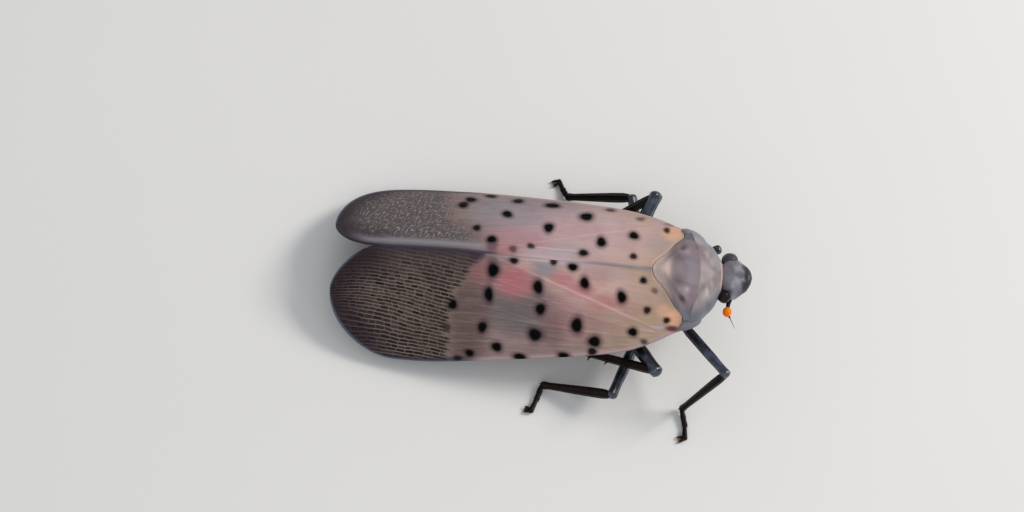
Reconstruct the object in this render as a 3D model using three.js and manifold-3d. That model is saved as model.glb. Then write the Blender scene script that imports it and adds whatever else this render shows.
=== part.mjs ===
// Spotted lanternfly, an adult at rest with its wings folded like a roof, as a still life-size model.
// Units are millimetres. The insect is built in its own body frame: +X runs to the head, +Y to the insect's
// left, +Z up, X = 0 at the bases of the forewings and Y = 0 on the mid plane. The stance group then tips
// the whole body head up, and the last group sets the origin under the middle of the box, on the floor.

import * as THREE from 'three';
import { mergeVertices } from 'three/addons/utils/BufferGeometryUtils.js';
import Module from 'manifold-3d';

const wasm = await Module();
wasm.setup();

// Driving dimensions

const PITCH = THREE.MathUtils.degToRad(10); // the body's head-up tilt
const FLOOR_X = -9.0; // where the floor crosses the body frame's Z = 0
const GAP = 0.3; // clear space between pieces that meet
const WING_LENGTH = 21.06; // forewing from its base to its tip
const WING_THICK = 0.5;
const WING_BULGE = 0.35; // how round the roof is between its ridge and its edge
const VEIN_RISE = 0.14;
const CLAVUS_BASE = 0.71; // the diagonal suture starts here across the roof, 0 at the ridge and 1 at the edge
const CLAVUS_SLOPE = 0.0567; // and comes this much nearer the ridge with each millimetre
const WING_TIP_Y = 2.15; // sideways place of the wing's hindmost point
const MESONOTUM_BACK = 1.68; // the wings meet behind the point of the mesonotum
const SHOULDER_Y = 2.81;
const COLLAR_TOP = 4.6; // height at which the prothorax's hind edge has its stated place
const HINDWING_LENGTH = 17.2;
const HINDWING_BASE = 2.3;
const HINDWING_DROP = WING_THICK + GAP; // the hind wing lies this far inside the forewing
const PLEAT = 0.12;
const OVER_WINGS = 2; // no part of the trunk stands this close over a forewing
const FEMUR_R = 0.285;
const TIBIA_R = 0.25;
const HIND_FEMUR_R = 0.44;
const KNEE_R = 0.34;
const HIND_KNEE_R = 0.4;
const TARSUS_R = 0.25;
const CLAW = 0.42;
const SPINE = 0.55;
const EYE = new THREE.Vector3(0.52, 0.46, 0.6); // half sizes

// Colours

const INK = { color: 0x17181c, roughness: 0.35, metalness: 0.0 };
const SHIELD = { color: 0x6a625f, roughness: 0.3, metalness: 0.0 };
const WING = { color: 0xa08f8c, roughness: 0.5, metalness: 0.0 };
const RED = { color: 0xa02018, roughness: 0.5, metalness: 0.0 };
const YELLOW = { color: 0xb89030, roughness: 0.5, metalness: 0.0 };
const ORANGE = { color: 0xd9600f, roughness: 0.45, metalness: 0.0 };
const EYE_DARK = { color: 0x1d1110, roughness: 0.2, metalness: 0.0 };

// Small helpers

const vec = (x, y, z) => new THREE.Vector3(x, y, z);
const mirrored = (p, side) => vec(p.x, p.y * side, p.z);

function along(table, x) {
  // Smooth value at x of a list of [x, value] pairs with falling x.
  const points = table.map(([a, b]) => new THREE.Vector2(a, b));
  let i = 0;
  while (i < points.length - 2 && x < points[i + 1].x) i += 1;
  const [p, q] = [points[i], points[i + 1]];
  const before = points[i - 1] ?? p;
  const after = points[i + 2] ?? q;
  const span = q.x - p.x;
  const s = THREE.MathUtils.clamp((x - p.x) / span, 0, 1);
  const slopeP = ((q.y - before.y) / (q.x - before.x)) * span;
  const slopeQ = ((after.y - p.y) / (after.x - p.x)) * span;
  const [s2, s3] = [s * s, s * s * s];
  const fromP = (2 * s3 - 3 * s2 + 1) * p.y + (s3 - 2 * s2 + s) * slopeP;
  const fromQ = (3 * s2 - 2 * s3) * q.y + (s3 - s2) * slopeQ;
  return fromP + fromQ;
}

const floorAt = (x) => -(x - FLOOR_X) * Math.tan(PITCH);
const onFloor = (x, y, height) => vec(x, y, floorAt(x) + height);

// Closed solids

function solid(geometry) {
  const bare = geometry.clone();
  bare.deleteAttribute('normal');
  bare.deleteAttribute('uv');
  const merged = mergeVertices(bare, 1e-4);
  const index = Uint32Array.from(merged.index.array);
  const triangles = [];
  for (let i = 0; i < index.length; i += 3) {
    const [a, b, c] = [index[i], index[i + 1], index[i + 2]];
    if (a !== b && b !== c && c !== a) triangles.push(a, b, c);
  }
  const shape = new wasm.Manifold(
    new wasm.Mesh({
      numProp: 3,
      vertProperties: Float32Array.from(merged.attributes.position.array),
      triVerts: Uint32Array.from(triangles),
    }),
  );
  return shape;
}

function largest(shape) {
  const parts = shape.decompose();
  parts.sort((a, b) => b.volume() - a.volume());
  return parts[0];
}

function geometryOf(shape) {
  const mesh = largest(shape).getMesh();
  const geometry = new THREE.BufferGeometry();
  geometry.setAttribute('position', new THREE.BufferAttribute(Float32Array.from(mesh.vertProperties), 3));
  geometry.setIndex(Array.from(mesh.triVerts));
  return geometry;
}

function skinOf(rows, closedRound) {
  // Closed surface over rows of points. A round one gets its ends filled from their middles.
  const points = rows.flat();
  const width = rows[0].length;
  const triangles = [];
  const quad = (a, b, c, d) => triangles.push(a, b, c, a, c, d);
  const last = closedRound ? width : width - 1;
  for (let i = 0; i < rows.length - 1; i += 1) {
    for (let j = 0; j < last; j += 1) {
      const k = (j + 1) % width;
      quad(i * width + j, (i + 1) * width + j, (i + 1) * width + k, i * width + k);
    }
  }
  if (closedRound) {
    for (const [row, flip] of [[0, false], [rows.length - 1, true]]) {
      const middle = new THREE.Vector3();
      rows[row].forEach((p) => middle.add(p));
      points.push(middle.divideScalar(width));
      const centre = points.length - 1;
      for (let j = 0; j < width; j += 1) {
        const [a, b] = [row * width + j, row * width + ((j + 1) % width)];
        if (flip) triangles.push(centre, b, a);
        else triangles.push(centre, a, b);
      }
    }
  }
  const geometry = new THREE.BufferGeometry().setFromPoints(points);
  geometry.setIndex(triangles);
  return geometry;
}

function facingOut(geometry) {
  // Turns the triangles over when the surface encloses a negative volume.
  const p = geometry.attributes.position;
  const index = geometry.index.array;
  const [a, b, c] = [new THREE.Vector3(), new THREE.Vector3(), new THREE.Vector3()];
  let volume = 0;
  for (let i = 0; i < index.length; i += 3) {
    a.fromBufferAttribute(p, index[i]);
    b.fromBufferAttribute(p, index[i + 1]);
    c.fromBufferAttribute(p, index[i + 2]);
    volume += a.dot(b.cross(c));
  }
  if (volume < 0) {
    const turned = Array.from(index);
    for (let i = 0; i < turned.length; i += 3) [turned[i], turned[i + 1]] = [turned[i + 1], turned[i]];
    geometry.setIndex(turned);
  }
  return geometry;
}

const loft = (rings) => solid(facingOut(skinOf(rings, true)));

function ring(x, halfWidth, top, wide, bottom, power, sides = 24) {
  // One cross-section of the body: widest at the height wide, squarer as power grows.
  const points = [];
  for (let i = 0; i < sides; i += 1) {
    const turn = (i / sides) * Math.PI * 2;
    const [c, s] = [Math.cos(turn), Math.sin(turn)];
    const y = Math.sign(c) * Math.abs(c) ** (2 / power) * halfWidth;
    const rise = Math.abs(s) ** (2 / power);
    points.push(vec(x, y, s > 0 ? wide + rise * (top - wide) : wide - rise * (wide - bottom)));
  }
  return points;
}

function limb(from, to, radii, sides = 8) {
  // A round tapered piece from one joint to the next, rounded past both, with radii evenly along it.
  const length = from.distanceTo(to);
  const [first, last] = [radii[0], radii[radii.length - 1]];
  const profile = [
    new THREE.Vector2(0, -first * 0.95),
    new THREE.Vector2(first * 0.7, -first * 0.68),
  ];
  radii.forEach((r, i) => profile.push(new THREE.Vector2(r, (length * i) / (radii.length - 1))));
  profile.push(new THREE.Vector2(last * 0.7, length + last * 0.68));
  profile.push(new THREE.Vector2(0, length + last * 0.95));
  const geometry = new THREE.LatheGeometry(profile, sides);
  const turn = new THREE.Quaternion().setFromUnitVectors(vec(0, 1, 0), to.clone().sub(from).normalize());
  geometry.applyQuaternion(turn);
  geometry.translate(from.x, from.y, from.z);
  return solid(geometry);
}

function cone(root, tip, radius, sides = 5) {
  const length = root.distanceTo(tip);
  const geometry = new THREE.ConeGeometry(radius, length, sides, 1);
  geometry.translate(0, length / 2, 0);
  const turn = new THREE.Quaternion().setFromUnitVectors(vec(0, 1, 0), tip.clone().sub(root).normalize());
  geometry.applyQuaternion(turn);
  geometry.translate(root.x, root.y, root.z);
  return solid(geometry);
}

function egg(centre, size, across = 12, high = 8) {
  const geometry = new THREE.SphereGeometry(1, across, high);
  geometry.scale(size.x, size.y, size.z);
  geometry.translate(centre.x, centre.y, centre.z);
  return solid(geometry);
}

function keepSide(shape, joint, normal, gap) {
  // Keeps what lies on the normal's side of a plane through a joint, half the gap away from it.
  const n = normal.clone().normalize();
  return shape.trimByPlane([n.x, n.y, n.z], n.dot(joint) + gap / 2);
}

const FLOOR_NORMAL = vec(Math.sin(PITCH), 0, Math.cos(PITCH));
const aboveFloor = (shape) => keepSide(shape, onFloor(0, 0, 0), FLOOR_NORMAL, 0);

// The folded wings: a roof over the body

const RIDGE_HEIGHT = [
  [0.5, 4.45], [-1.68, 4.63], [-3, 4.85], [-5, 5.18], [-8, 5.56], [-10, 5.8],
  [-12, 5.99], [-14.5, 6.2], [-17, 6.24], [-19, 6.14], [-21.4, 5.85],
];
const EDGE_SPREAD = [
  [0.5, 3.5], [-0.3, 3.79], [-1, 4.1], [-2, 4.42], [-4, 4.84], [-6, 5.1], [-8, 5.29],
  [-10, 5.46], [-12, 5.6], [-14.5, 5.72], [-16, 5.72], [-17.5, 5.65], [-21.4, 5.5],
];
const EDGE_HEIGHT = [
  [0.5, 3.12], [-1, 2.96], [-4, 2.7], [-8, 2.55], [-12, 2.38], [-14.5, 2.2], [-17.5, 2.22], [-21.4, 2.35],
];
const TIP_DROOP = 0.9;
const DROOP_START = 17.3;

function roof(x, t) {
  // Point of the forewing's outer surface, t from 0 at the ridge to 1 at the edge.
  const [top, edge, low] = [along(RIDGE_HEIGHT, x), along(EDGE_SPREAD, x), along(EDGE_HEIGHT, x)];
  const turn = (t * Math.PI) / 2;
  const out = (1 - WING_BULGE) * t + WING_BULGE * Math.sin(turn);
  const down = (1 - WING_BULGE) * t + WING_BULGE * (1 - Math.cos(turn));
  const past = Math.max(0, -x - DROOP_START) / (WING_LENGTH - DROOP_START);
  const droop = TIP_DROOP * past * past * (1 - 0.8 * t);
  return vec(x, edge * out, top - (top - low) * down - droop);
}

function across(x, y) {
  // The t at which the roof is y wide.
  let [low, high] = [0, 1.2];
  for (let i = 0; i < 30; i += 1) {
    const t = (low + high) / 2;
    if (roof(x, t).y < y) low = t;
    else high = t;
  }
  return (low + high) / 2;
}

function roofNormal(x, t) {
  const step = 0.02;
  const lengthwise = roof(x - step, t).sub(roof(x + step, t));
  const sideways = roof(x, t + step).sub(roof(x, t - step));
  const normal = sideways.cross(lengthwise).normalize();
  if (normal.z < 0) normal.negate();
  normal.y *= Math.min(1, t / 0.25);
  return normal.normalize();
}

function innerEdge(x) {
  const tip = THREE.MathUtils.clamp((-x - 18.2) / (WING_LENGTH - 18.2), 0, 1);
  const rounding = WING_TIP_Y * (1 - (1 - tip ** 1.7) ** (1 / 1.7));
  const beside = (SHOULDER_Y / MESONOTUM_BACK) * (x + MESONOTUM_BACK);
  return Math.max(GAP / 2, rounding, beside);
}

function outerEdge(x) {
  const full = roof(x, 1).y;
  const tip = THREE.MathUtils.clamp((-x - 17) / (WING_LENGTH - 17), 0, 1);
  return WING_TIP_Y + (full - WING_TIP_Y) * Math.sqrt(1 - tip * tip);
}

const clavusAt = (x) => Math.max(0.07, CLAVUS_BASE + CLAVUS_SLOPE * x);

// Places of the columns of the forewing: [share inside the clavus, share outside it, rise]
const COLUMNS = [
  { inside: 0, rise: 0 }, { inside: 0.45, rise: 0 }, { inside: 0.86, rise: 0 },
  { outside: 0, rise: 1 }, { outside: 0.035, rise: 0 }, { outside: 0.14, rise: 0 },
  { outside: 0.235, rise: 0 }, { outside: 0.265, rise: 1 }, { outside: 0.295, rise: 0 },
  { outside: 0.4, rise: 0 }, { outside: 0.495, rise: 0 }, { outside: 0.525, rise: 1 },
  { outside: 0.555, rise: 0 }, { outside: 0.66, rise: 0 }, { outside: 0.75, rise: 0 },
  { outside: 0.78, rise: 1 }, { outside: 0.81, rise: 0 }, { outside: 0.92, rise: 0 },
  { outside: 1, rise: 0 },
];

function forewingRows() {
  // Stations along the wing, closer together at its base and where the tip rounds off.
  const stations = [0.05, -0.4, -0.9, -1.3, -MESONOTUM_BACK, -2.3, -3.1, -4, -5.2, -6.4, -7.8];
  stations.push(-9.2, -10.6, -12, -13.4, -14.8);
  const steps = 9;
  for (let i = 0; i <= steps; i += 1) {
    const turn = ((i / steps) * Math.PI) / 2;
    stations.push(-16 - (WING_LENGTH - 0.015 - 16) * Math.sin(turn));
  }
  return stations;
}

function sheet(stations, pointAt, normalAt, columnsAt, outer, inner) {
  // A thin closed sheet whose two faces are split into triangles alike.
  const top = stations.map((x) => columnsAt(x).map((c) => {
    const rise = outer + (c.rise ?? 0);
    return pointAt(x, c.t).addScaledVector(normalAt(x, c.t), rise);
  }));
  const under = stations.map((x) => columnsAt(x).map((c) => {
    const drop = inner - (c.pleat ?? 0);
    return pointAt(x, c.t).addScaledVector(normalAt(x, c.t), -drop);
  }));
  const rows = top.length;
  const width = top[0].length;
  const points = [...top.flat(), ...under.flat()];
  const low = rows * width;
  const triangles = [];
  for (let i = 0; i < rows - 1; i += 1) {
    for (let j = 0; j < width - 1; j += 1) {
      const [a, b, c, d] = [i * width + j, (i + 1) * width + j, (i + 1) * width + j + 1, i * width + j + 1];
      triangles.push(a, b, c, a, c, d);
      triangles.push(low + a, low + c, low + b, low + a, low + d, low + c);
    }
  }
  const rim = [];
  for (let j = 0; j < width - 1; j += 1) rim.push(j);
  for (let i = 0; i < rows - 1; i += 1) rim.push(i * width + width - 1);
  for (let j = width - 1; j > 0; j -= 1) rim.push((rows - 1) * width + j);
  for (let i = rows - 1; i > 0; i -= 1) rim.push(i * width);
  rim.forEach((a, i) => {
    const b = rim[(i + 1) % rim.length];
    triangles.push(a, b, low + b, a, low + b, low + a);
  });
  const geometry = new THREE.BufferGeometry().setFromPoints(points);
  geometry.setIndex(triangles);
  return solid(facingOut(geometry));
}

function forewing(grow = 0, above = 0) {
  // With above set, the space straight over the wing is taken in too.
  const columnsAt = (x) => {
    const inner = across(x, innerEdge(x)) - grow / 5;
    const outer = across(x, outerEdge(x)) + grow / 5;
    const clavus = THREE.MathUtils.clamp(clavusAt(x), inner + 0.12 * (outer - inner), outer);
    const fade = THREE.MathUtils.clamp((-x - 0.6) / 1.5, 0, 1) * THREE.MathUtils.clamp((19.5 + x) / 3, 0, 1);
    return COLUMNS.map((c) => ({
      t: c.inside !== undefined ? inner + c.inside * (clavus - inner) : clavus + c.outside * (outer - clavus),
      rise: c.rise * VEIN_RISE * fade,
    }));
  };
  const stations = forewingRows();
  if (grow > 0) stations[0] += grow;
  const normalAt = above > 0 ? () => vec(0, 0, 1) : roofNormal;
  return sheet(stations, roof, normalAt, columnsAt, Math.max(grow, above), WING_THICK + grow);
}

function hindwing(grow = 0) {
  const tipShare = 0.42;
  const columnsAt = (x) => {
    const tip = THREE.MathUtils.clamp((-x - 12.5) / (HINDWING_LENGTH - 12.5), 0, 1);
    const base = THREE.MathUtils.clamp((4.2 + x) / (4.2 - HINDWING_BASE), 0, 1);
    const round = Math.sqrt(1 - tip * tip);
    const [inner, outer] = [0.075 + 0.27 * base * base, 0.82 - 0.2 * base];
    const [from, to] = [tipShare + (inner - tipShare) * round, tipShare + (outer - tipShare) * round];
    const count = 9;
    return Array.from({ length: count }, (_, i) => ({
      t: from - grow / 5 + ((to - from + (2 * grow) / 5) * i) / (count - 1),
      rise: i % 2 ? -PLEAT : 0,
      pleat: i % 2 ? -PLEAT : 0,
    }));
  };
  const stations = [-HINDWING_BASE + grow, -3.2, -4.2, -6, -8, -10, -12];
  const steps = 6;
  for (let i = 1; i <= steps; i += 1) {
    stations.push(-12.5 - (HINDWING_LENGTH - 0.03 - 12.5) * Math.sin(((i / steps) * Math.PI) / 2));
  }
  const under = HINDWING_DROP + WING_THICK + grow;
  return sheet(stations, roof, roofNormal, columnsAt, grow - HINDWING_DROP, under);
}

const flipped = (shape, side) => (side > 0 ? shape : shape.mirror([0, 1, 0]));

// Trunk: prothorax and the two hind rings of the thorax, lofted whole and parted by one thin curved cut

const TRUNK_WIDTH = [
  [2.42, 0.55], [2.3, 0.95], [1.95, 1.75], [1.5, 2.3], [1.0, 2.8], [0.5, 3.02],
  [0, 3.0], [-0.8, 2.8], [-1.8, 2.55], [-3.0, 2.35], [-3.9, 2.1],
];
const TRUNK_TOP = [
  [2.42, 4.2], [2.3, 4.27], [1.5, 4.42], [0.5, 4.6], [-0.6, 4.78], [-1.8, 4.66], [-3, 4.3], [-3.9, 3.7],
];
const TRUNK_WIDE = [[2.42, 3.7], [1.5, 3.55], [0.5, 3.5], [-1.8, 3.2], [-3.9, 2.7]];
const TRUNK_BOTTOM = [[2.42, 3.1], [2.1, 2.5], [1.5, 2.1], [0.5, 1.85], [-1.8, 1.6], [-3.9, 1.55]];

function trunk(grow = 0) {
  const rings = [];
  const stations = [2.42, 2.3, 2.1, 1.8, 1.4, 1, 0.6, 0.2, -0.3, -0.8, -1.3, -1.8, -2.4, -3, -3.5, -3.9];
  stations.forEach((x, i) => {
    const end = i === 0 ? grow : i === stations.length - 1 ? -grow : 0;
    rings.push(ring(
      x + end,
      along(TRUNK_WIDTH, x) + grow,
      along(TRUNK_TOP, x) + grow,
      along(TRUNK_WIDE, x),
      along(TRUNK_BOTTOM, x) - grow,
      2.25,
      28,
    ));
  });
  return loft(rings);
}

function collarCut() {
  // A thin curved wall, the hind edge of the prothorax. It leans back towards its top.
  const [half, steps, lean] = [4, 12, 0.6];
  const edge = (y) => 0.95 + lean * COLLAR_TOP - 0.106 * y * y;
  const shape = new THREE.Shape();
  shape.moveTo(edge(-half) - GAP / 2, -half);
  for (let i = 1; i <= steps; i += 1) {
    const y = -half + (2 * half * i) / steps;
    shape.lineTo(edge(y) - GAP / 2, y);
  }
  for (let i = steps; i >= 0; i -= 1) {
    const y = -half + (2 * half * i) / steps;
    shape.lineTo(edge(y) + GAP / 2, y);
  }
  const geometry = new THREE.ExtrudeGeometry(shape, { depth: 8, bevelEnabled: false });
  geometry.applyMatrix4(new THREE.Matrix4().makeShear(0, 0, 0, 0, -lean, 0));
  return solid(geometry);
}

// Head: levels from the crown down to the lower end of the face, as [height, front, back, half width]

const HEAD_LEVELS = [
  [4.34, 3.55, 2.95, 0.4], [4.24, 3.87, 2.6, 0.82], [4.0, 4.05, 2.45, 1.05], [3.6, 4.07, 2.3, 1.1],
  [3.1, 3.88, 2.2, 0.98], [2.6, 3.62, 2.15, 0.84], [2.1, 3.3, 2.1, 0.68], [1.7, 2.98, 2.05, 0.52],
  [1.35, 2.66, 1.98, 0.34],
];
const FACE_ROUND = 0.92; // 1 is an ellipse, and lower is squarer
const NAPE_ROUND = 0.8;

function head(grow = 0) {
  const sides = 20;
  return loft(HEAD_LEVELS.map(([z, front, back, half], level) => {
    const end = level === 0 ? grow : level === HEAD_LEVELS.length - 1 ? -grow : 0;
    const points = [];
    for (let i = 0; i < sides; i += 1) {
      const turn = (i / sides) * Math.PI * 2;
      const [c, s] = [Math.cos(turn), Math.sin(turn)];
      const middle = (front + back) / 2;
      const power = c > 0 ? FACE_ROUND : NAPE_ROUND;
      const reach = Math.sign(c) * Math.abs(c) ** power * ((front - back) / 2 + grow);
      const sideways = Math.sign(s) * Math.abs(s) ** power * (half + grow);
      points.push(vec(middle + reach, sideways, z + end));
    }
    return points;
  }));
}

const EYE_AT = vec(2.66, 1.26, 3.84);
const ANTENNA_BULB = vec(2.78, 1.87, 2.95);
const BULB_R = 0.31;

function antenna(side) {
  const centre = mirrored(ANTENNA_BULB, side);
  const stalk = limb(mirrored(vec(2.95, 1.0, 3.02), side), centre, [0.26, 0.26], 8);
  const bulb = egg(centre, vec(BULB_R, BULB_R * 1.1, BULB_R), 10, 7);
  const needle = cone(centre, mirrored(vec(3.35, 2.85, 2.45), side), 0.22, 6);
  return stalk.add(bulb).add(needle);
}

// Abdomen: seven rings, each a little wider at its hind edge

const ABDOMEN_WIDTH = [[-4.2, 1.9], [-5.5, 2.4], [-7.5, 2.55], [-9.5, 2.25], [-11.3, 1.6], [-12.8, 0.6]];
const ABDOMEN_TOP = [[-4.2, 2.9], [-5.5, 3.2], [-7.5, 3.45], [-9.5, 3.5], [-11.3, 3.3], [-12.8, 2.7]];
const ABDOMEN_BOTTOM = [[-4.2, 1.55], [-5.5, 1.2], [-7.5, 1.05], [-9.5, 1.1], [-11.3, 1.4], [-12.8, 1.95]];
const ABDOMEN_RINGS = 7;
const RING_STEP = 0.1;

function abdomen() {
  const rings = [];
  const [front, back] = [-4.2, -12.8];
  for (let i = 0; i < ABDOMEN_RINGS; i += 1) {
    for (const [share, swell] of [[0.04, -RING_STEP], [0.5, 0], [0.96, RING_STEP * 0.4]]) {
      const x = front + ((back - front) * (i + share)) / ABDOMEN_RINGS;
      const [top, low] = [along(ABDOMEN_TOP, x), along(ABDOMEN_BOTTOM, x)];
      const wide = low + 0.45 * (top - low);
      rings.push(ring(x, along(ABDOMEN_WIDTH, x) + swell, top + swell, wide, low - swell, 2.2, 16));
    }
  }
  return loft(rings);
}

// Legs: joints of each leg in the body frame, root of the coxa first, then trochanter, knee and ankle,
// and the foot as two points and the place of the claws on the floor

const ANKLE_RISE = 0.34;
const SOLE_RISE = 0.2; // the tarsus' middle line over the floor

const LEGS = [
  {
    name: 'front_right', root: vec(0.95, -1.1, 2.35),
    trochanter: vec(0.05, -2.0, 1.5), knee: vec(2.8, -5.74, 2.6),
    ankle: [0.42, -6.56], foot: [[0.64, -7.51], [0.67, -8.36]], claws: [0.12, -8.56],
  },
  {
    name: 'front_left', root: vec(0.7, 1.1, 2.35),
    trochanter: vec(-0.65, 1.75, 1.05), knee: vec(2.24, 2.72, 1.95),
    ankle: [1.2, 3.35], foot: [[0.5, 3.85], [-0.2, 4.2]], claws: [-0.65, 4.15],
  },
  {
    name: 'middle_right', root: vec(-1.35, -1.2, 2.1),
    trochanter: vec(-2.3, -2.5, 0.8), knee: vec(-3.88, -6.76, 0.9),
    ankle: [-8.11, -6.04], foot: [[-8.38, -6.9], [-8.69, -7.72]], claws: [-9.2, -7.62],
  },
  {
    name: 'middle_left', root: vec(-1.35, 1.2, 2.1),
    trochanter: vec(-2.2, 2.3, 0.85), knee: vec(-3.11, 6.38, 1.1),
    ankle: [-7.15, 6.77], foot: [[-7.4, 7.3], [-7.69, 7.85]], claws: [-8.2, 7.55],
  },
  {
    name: 'hind_right', root: vec(-2.95, -1.1, 1.95),
    trochanter: vec(-3.6, -2.0, 0.95), knee: vec(-1.36, -5.77, 2.6),
    ankle: [-7.1, -3.33], foot: [[-8.0, -3.42], [-8.9, -3.62]], claws: [-9.4, -3.6],
  },
  {
    name: 'hind_left', root: vec(-2.95, 1.1, 1.95),
    trochanter: vec(-3.6, 2.0, 0.95), knee: vec(-1.69, 5.85, 2.6),
    ankle: [-7.3, 3.4], foot: [[-8.2, 3.55], [-9.1, 3.85]], claws: [-9.6, 3.9],
  },
];

function legPieces(leg) {
  const hind = leg.name.startsWith('hind');
  const thigh = hind ? HIND_FEMUR_R : FEMUR_R;
  const { root, trochanter, knee } = leg;
  const ankle = onFloor(leg.ankle[0], leg.ankle[1], ANKLE_RISE);
  const toe = leg.foot.map(([x, y]) => onFloor(x, y, SOLE_RISE));
  const direction = (a, b) => b.clone().sub(a).normalize();
  const bends = [root, trochanter, knee, ankle, toe[0]];
  const d = [0, 1, 2, 3].map((i) => direction(bends[i], bends[i + 1]));
  const fold = [0, 1, 2].map((i) => d[i].clone().add(d[i + 1]));

  let coxa = limb(root, trochanter, [0.5, 0.42, 0.34], 10);
  coxa = keepSide(coxa, trochanter, fold[0].clone().negate(), GAP);

  const swell = hind ? [0.3, 0.42, thigh, 0.4, 0.34] : [0.27, thigh, thigh, thigh * 0.97, thigh * 0.95];
  const kneeR = hind ? HIND_KNEE_R : KNEE_R;
  const knob = (r) => egg(knee, vec(r, r, r), 12, 8);
  let femur = limb(trochanter, knee, swell, 8);
  femur = keepSide(femur, trochanter, fold[0], GAP);
  femur = keepSide(femur, knee, fold[1].clone().negate(), GAP).add(knob(kneeR));

  let tibia = limb(knee, ankle, [TIBIA_R * 1.1, TIBIA_R, TIBIA_R, TIBIA_R * 1.08], 8);
  if (hind) {
    const outward = vec(0, Math.sign(knee.y), 0).cross(d[2]).cross(d[2]).negate().normalize();
    for (const share of [0.3, 0.48, 0.66, 0.84]) {
      const place = knee.clone().lerp(ankle, share);
      const lean = d[2].clone().multiplyScalar(0.35);
      const tip = place.clone().addScaledVector(outward.clone().add(lean).normalize(), TIBIA_R + SPINE);
      tibia = tibia.add(cone(place, tip, 0.16, 5));
    }
  }
  tibia = keepSide(tibia, knee, fold[1], GAP).subtract(knob(kneeR + GAP));
  tibia = keepSide(tibia, ankle, fold[2].clone().negate(), GAP);

  const sole = [TARSUS_R, TARSUS_R];
  let tarsus = limb(ankle, toe[0], sole, 6).add(limb(toe[0], toe[1], sole, 6));
  const reach = vec(leg.claws[0], leg.claws[1], 0).sub(vec(leg.foot[1][0], leg.foot[1][1], 0)).normalize();
  const side = vec(-reach.y, reach.x, 0);
  for (const way of [-1, 1]) {
    const root2 = toe[1].clone().addScaledVector(side, way * 0.08);
    const tip = onFloor(leg.claws[0], leg.claws[1], 0.04).addScaledVector(side, way * CLAW * 0.5);
    tarsus = tarsus.add(cone(root2, tip, 0.17, 5));
  }
  const padAt = toe[1].clone().addScaledVector(reach, 0.26);
  tarsus = tarsus.add(egg(padAt.setZ(floorAt(padAt.x) + 0.13), vec(0.25, 0.25, 0.16), 6, 4));
  tarsus = aboveFloor(keepSide(tarsus, ankle, fold[2], GAP));
  return { coxa, femur, tibia, tarsus };
}

// Assembly

const pieces = [];
const place = (name, shape, look) => pieces.push({ name, shape, look });

const grownTrunk = trunk(GAP);
const grownForewings = [1, -1].map((side) => flipped(forewing(GAP), side));
const overForewings = [1, -1].map((side) => flipped(forewing(GAP, OVER_WINGS), side));
const grownHindwings = [1, -1].map((side) => flipped(hindwing(GAP), side));
const without = (shape, cutters) => cutters.reduce((left, cutter) => left.subtract(cutter), shape);

const trunkCutters = [collarCut(), ...grownForewings, ...overForewings, ...grownHindwings];
const trunkParts = without(trunk(), trunkCutters).decompose();
trunkParts.sort((a, b) => b.volume() - a.volume());
const [frontPart, rearPart] = trunkParts
  .slice(0, 2)
  .sort((a, b) => b.boundingBox().max[0] - a.boundingBox().max[0]);
place('pronotum', frontPart, SHIELD);
place('thorax', rearPart, SHIELD);

const headShape = without(head(), [grownTrunk]);
const grownHead = head(GAP);
place('head', headShape, INK);
for (const side of [1, -1]) {
  const word = side > 0 ? 'left' : 'right';
  place(`eye_${word}`, without(egg(mirrored(EYE_AT, side), EYE), [grownHead, grownTrunk]), EYE_DARK);
  place(`antenna_${word}`, without(antenna(side), [grownHead, grownTrunk]), ORANGE);
}
place('beak', limb(vec(2.2, 0, 0.78), vec(-2.7, 0, 0.7), [0.28, 0.27, 0.26, 0.24], 8), INK);
place('abdomen', without(abdomen(), grownHindwings), YELLOW);
for (const side of [1, -1]) {
  const word = side > 0 ? 'left' : 'right';
  place(`forewing_${word}`, flipped(forewing(), side), WING);
  place(`hindwing_${word}`, flipped(hindwing(), side), RED);
}
for (const leg of LEGS) {
  const made = legPieces(leg);
  made.coxa = without(made.coxa, [grownTrunk]);
  for (const [part, shape] of Object.entries(made)) place(`leg_${leg.name}_${part}`, shape, INK);
}

const stance = new THREE.Group();
stance.rotation.y = -PITCH;
for (const { name, shape, look } of pieces) {
  const mesh = new THREE.Mesh(geometryOf(shape), new THREE.MeshStandardMaterial(look));
  mesh.name = name;
  stance.add(mesh);
}

const model = new THREE.Group();
model.add(stance);
model.updateMatrixWorld(true);
const box = new THREE.Box3().setFromObject(model, true);
stance.position.set(-(box.min.x + box.max.x) / 2, -(box.min.y + box.max.y) / 2, -box.min.z);
model.updateMatrixWorld(true);

export default model;
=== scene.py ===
"""Spotted lanternfly at rest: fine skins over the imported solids, with finishes, light and camera.

Shapes are worked out in the insect's body frame in millimetres: +X to the head, +Y to its left, +Z up, and
X = 0 at the bases of the forewings. They are then tipped head up and set in the row's frame in metres.

A place on a wing has an x along the wing, and across it a w in millimetres from the ridge, or a t that runs
from 0 at the ridge to 1 at the outer edge.
"""

import math

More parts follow.
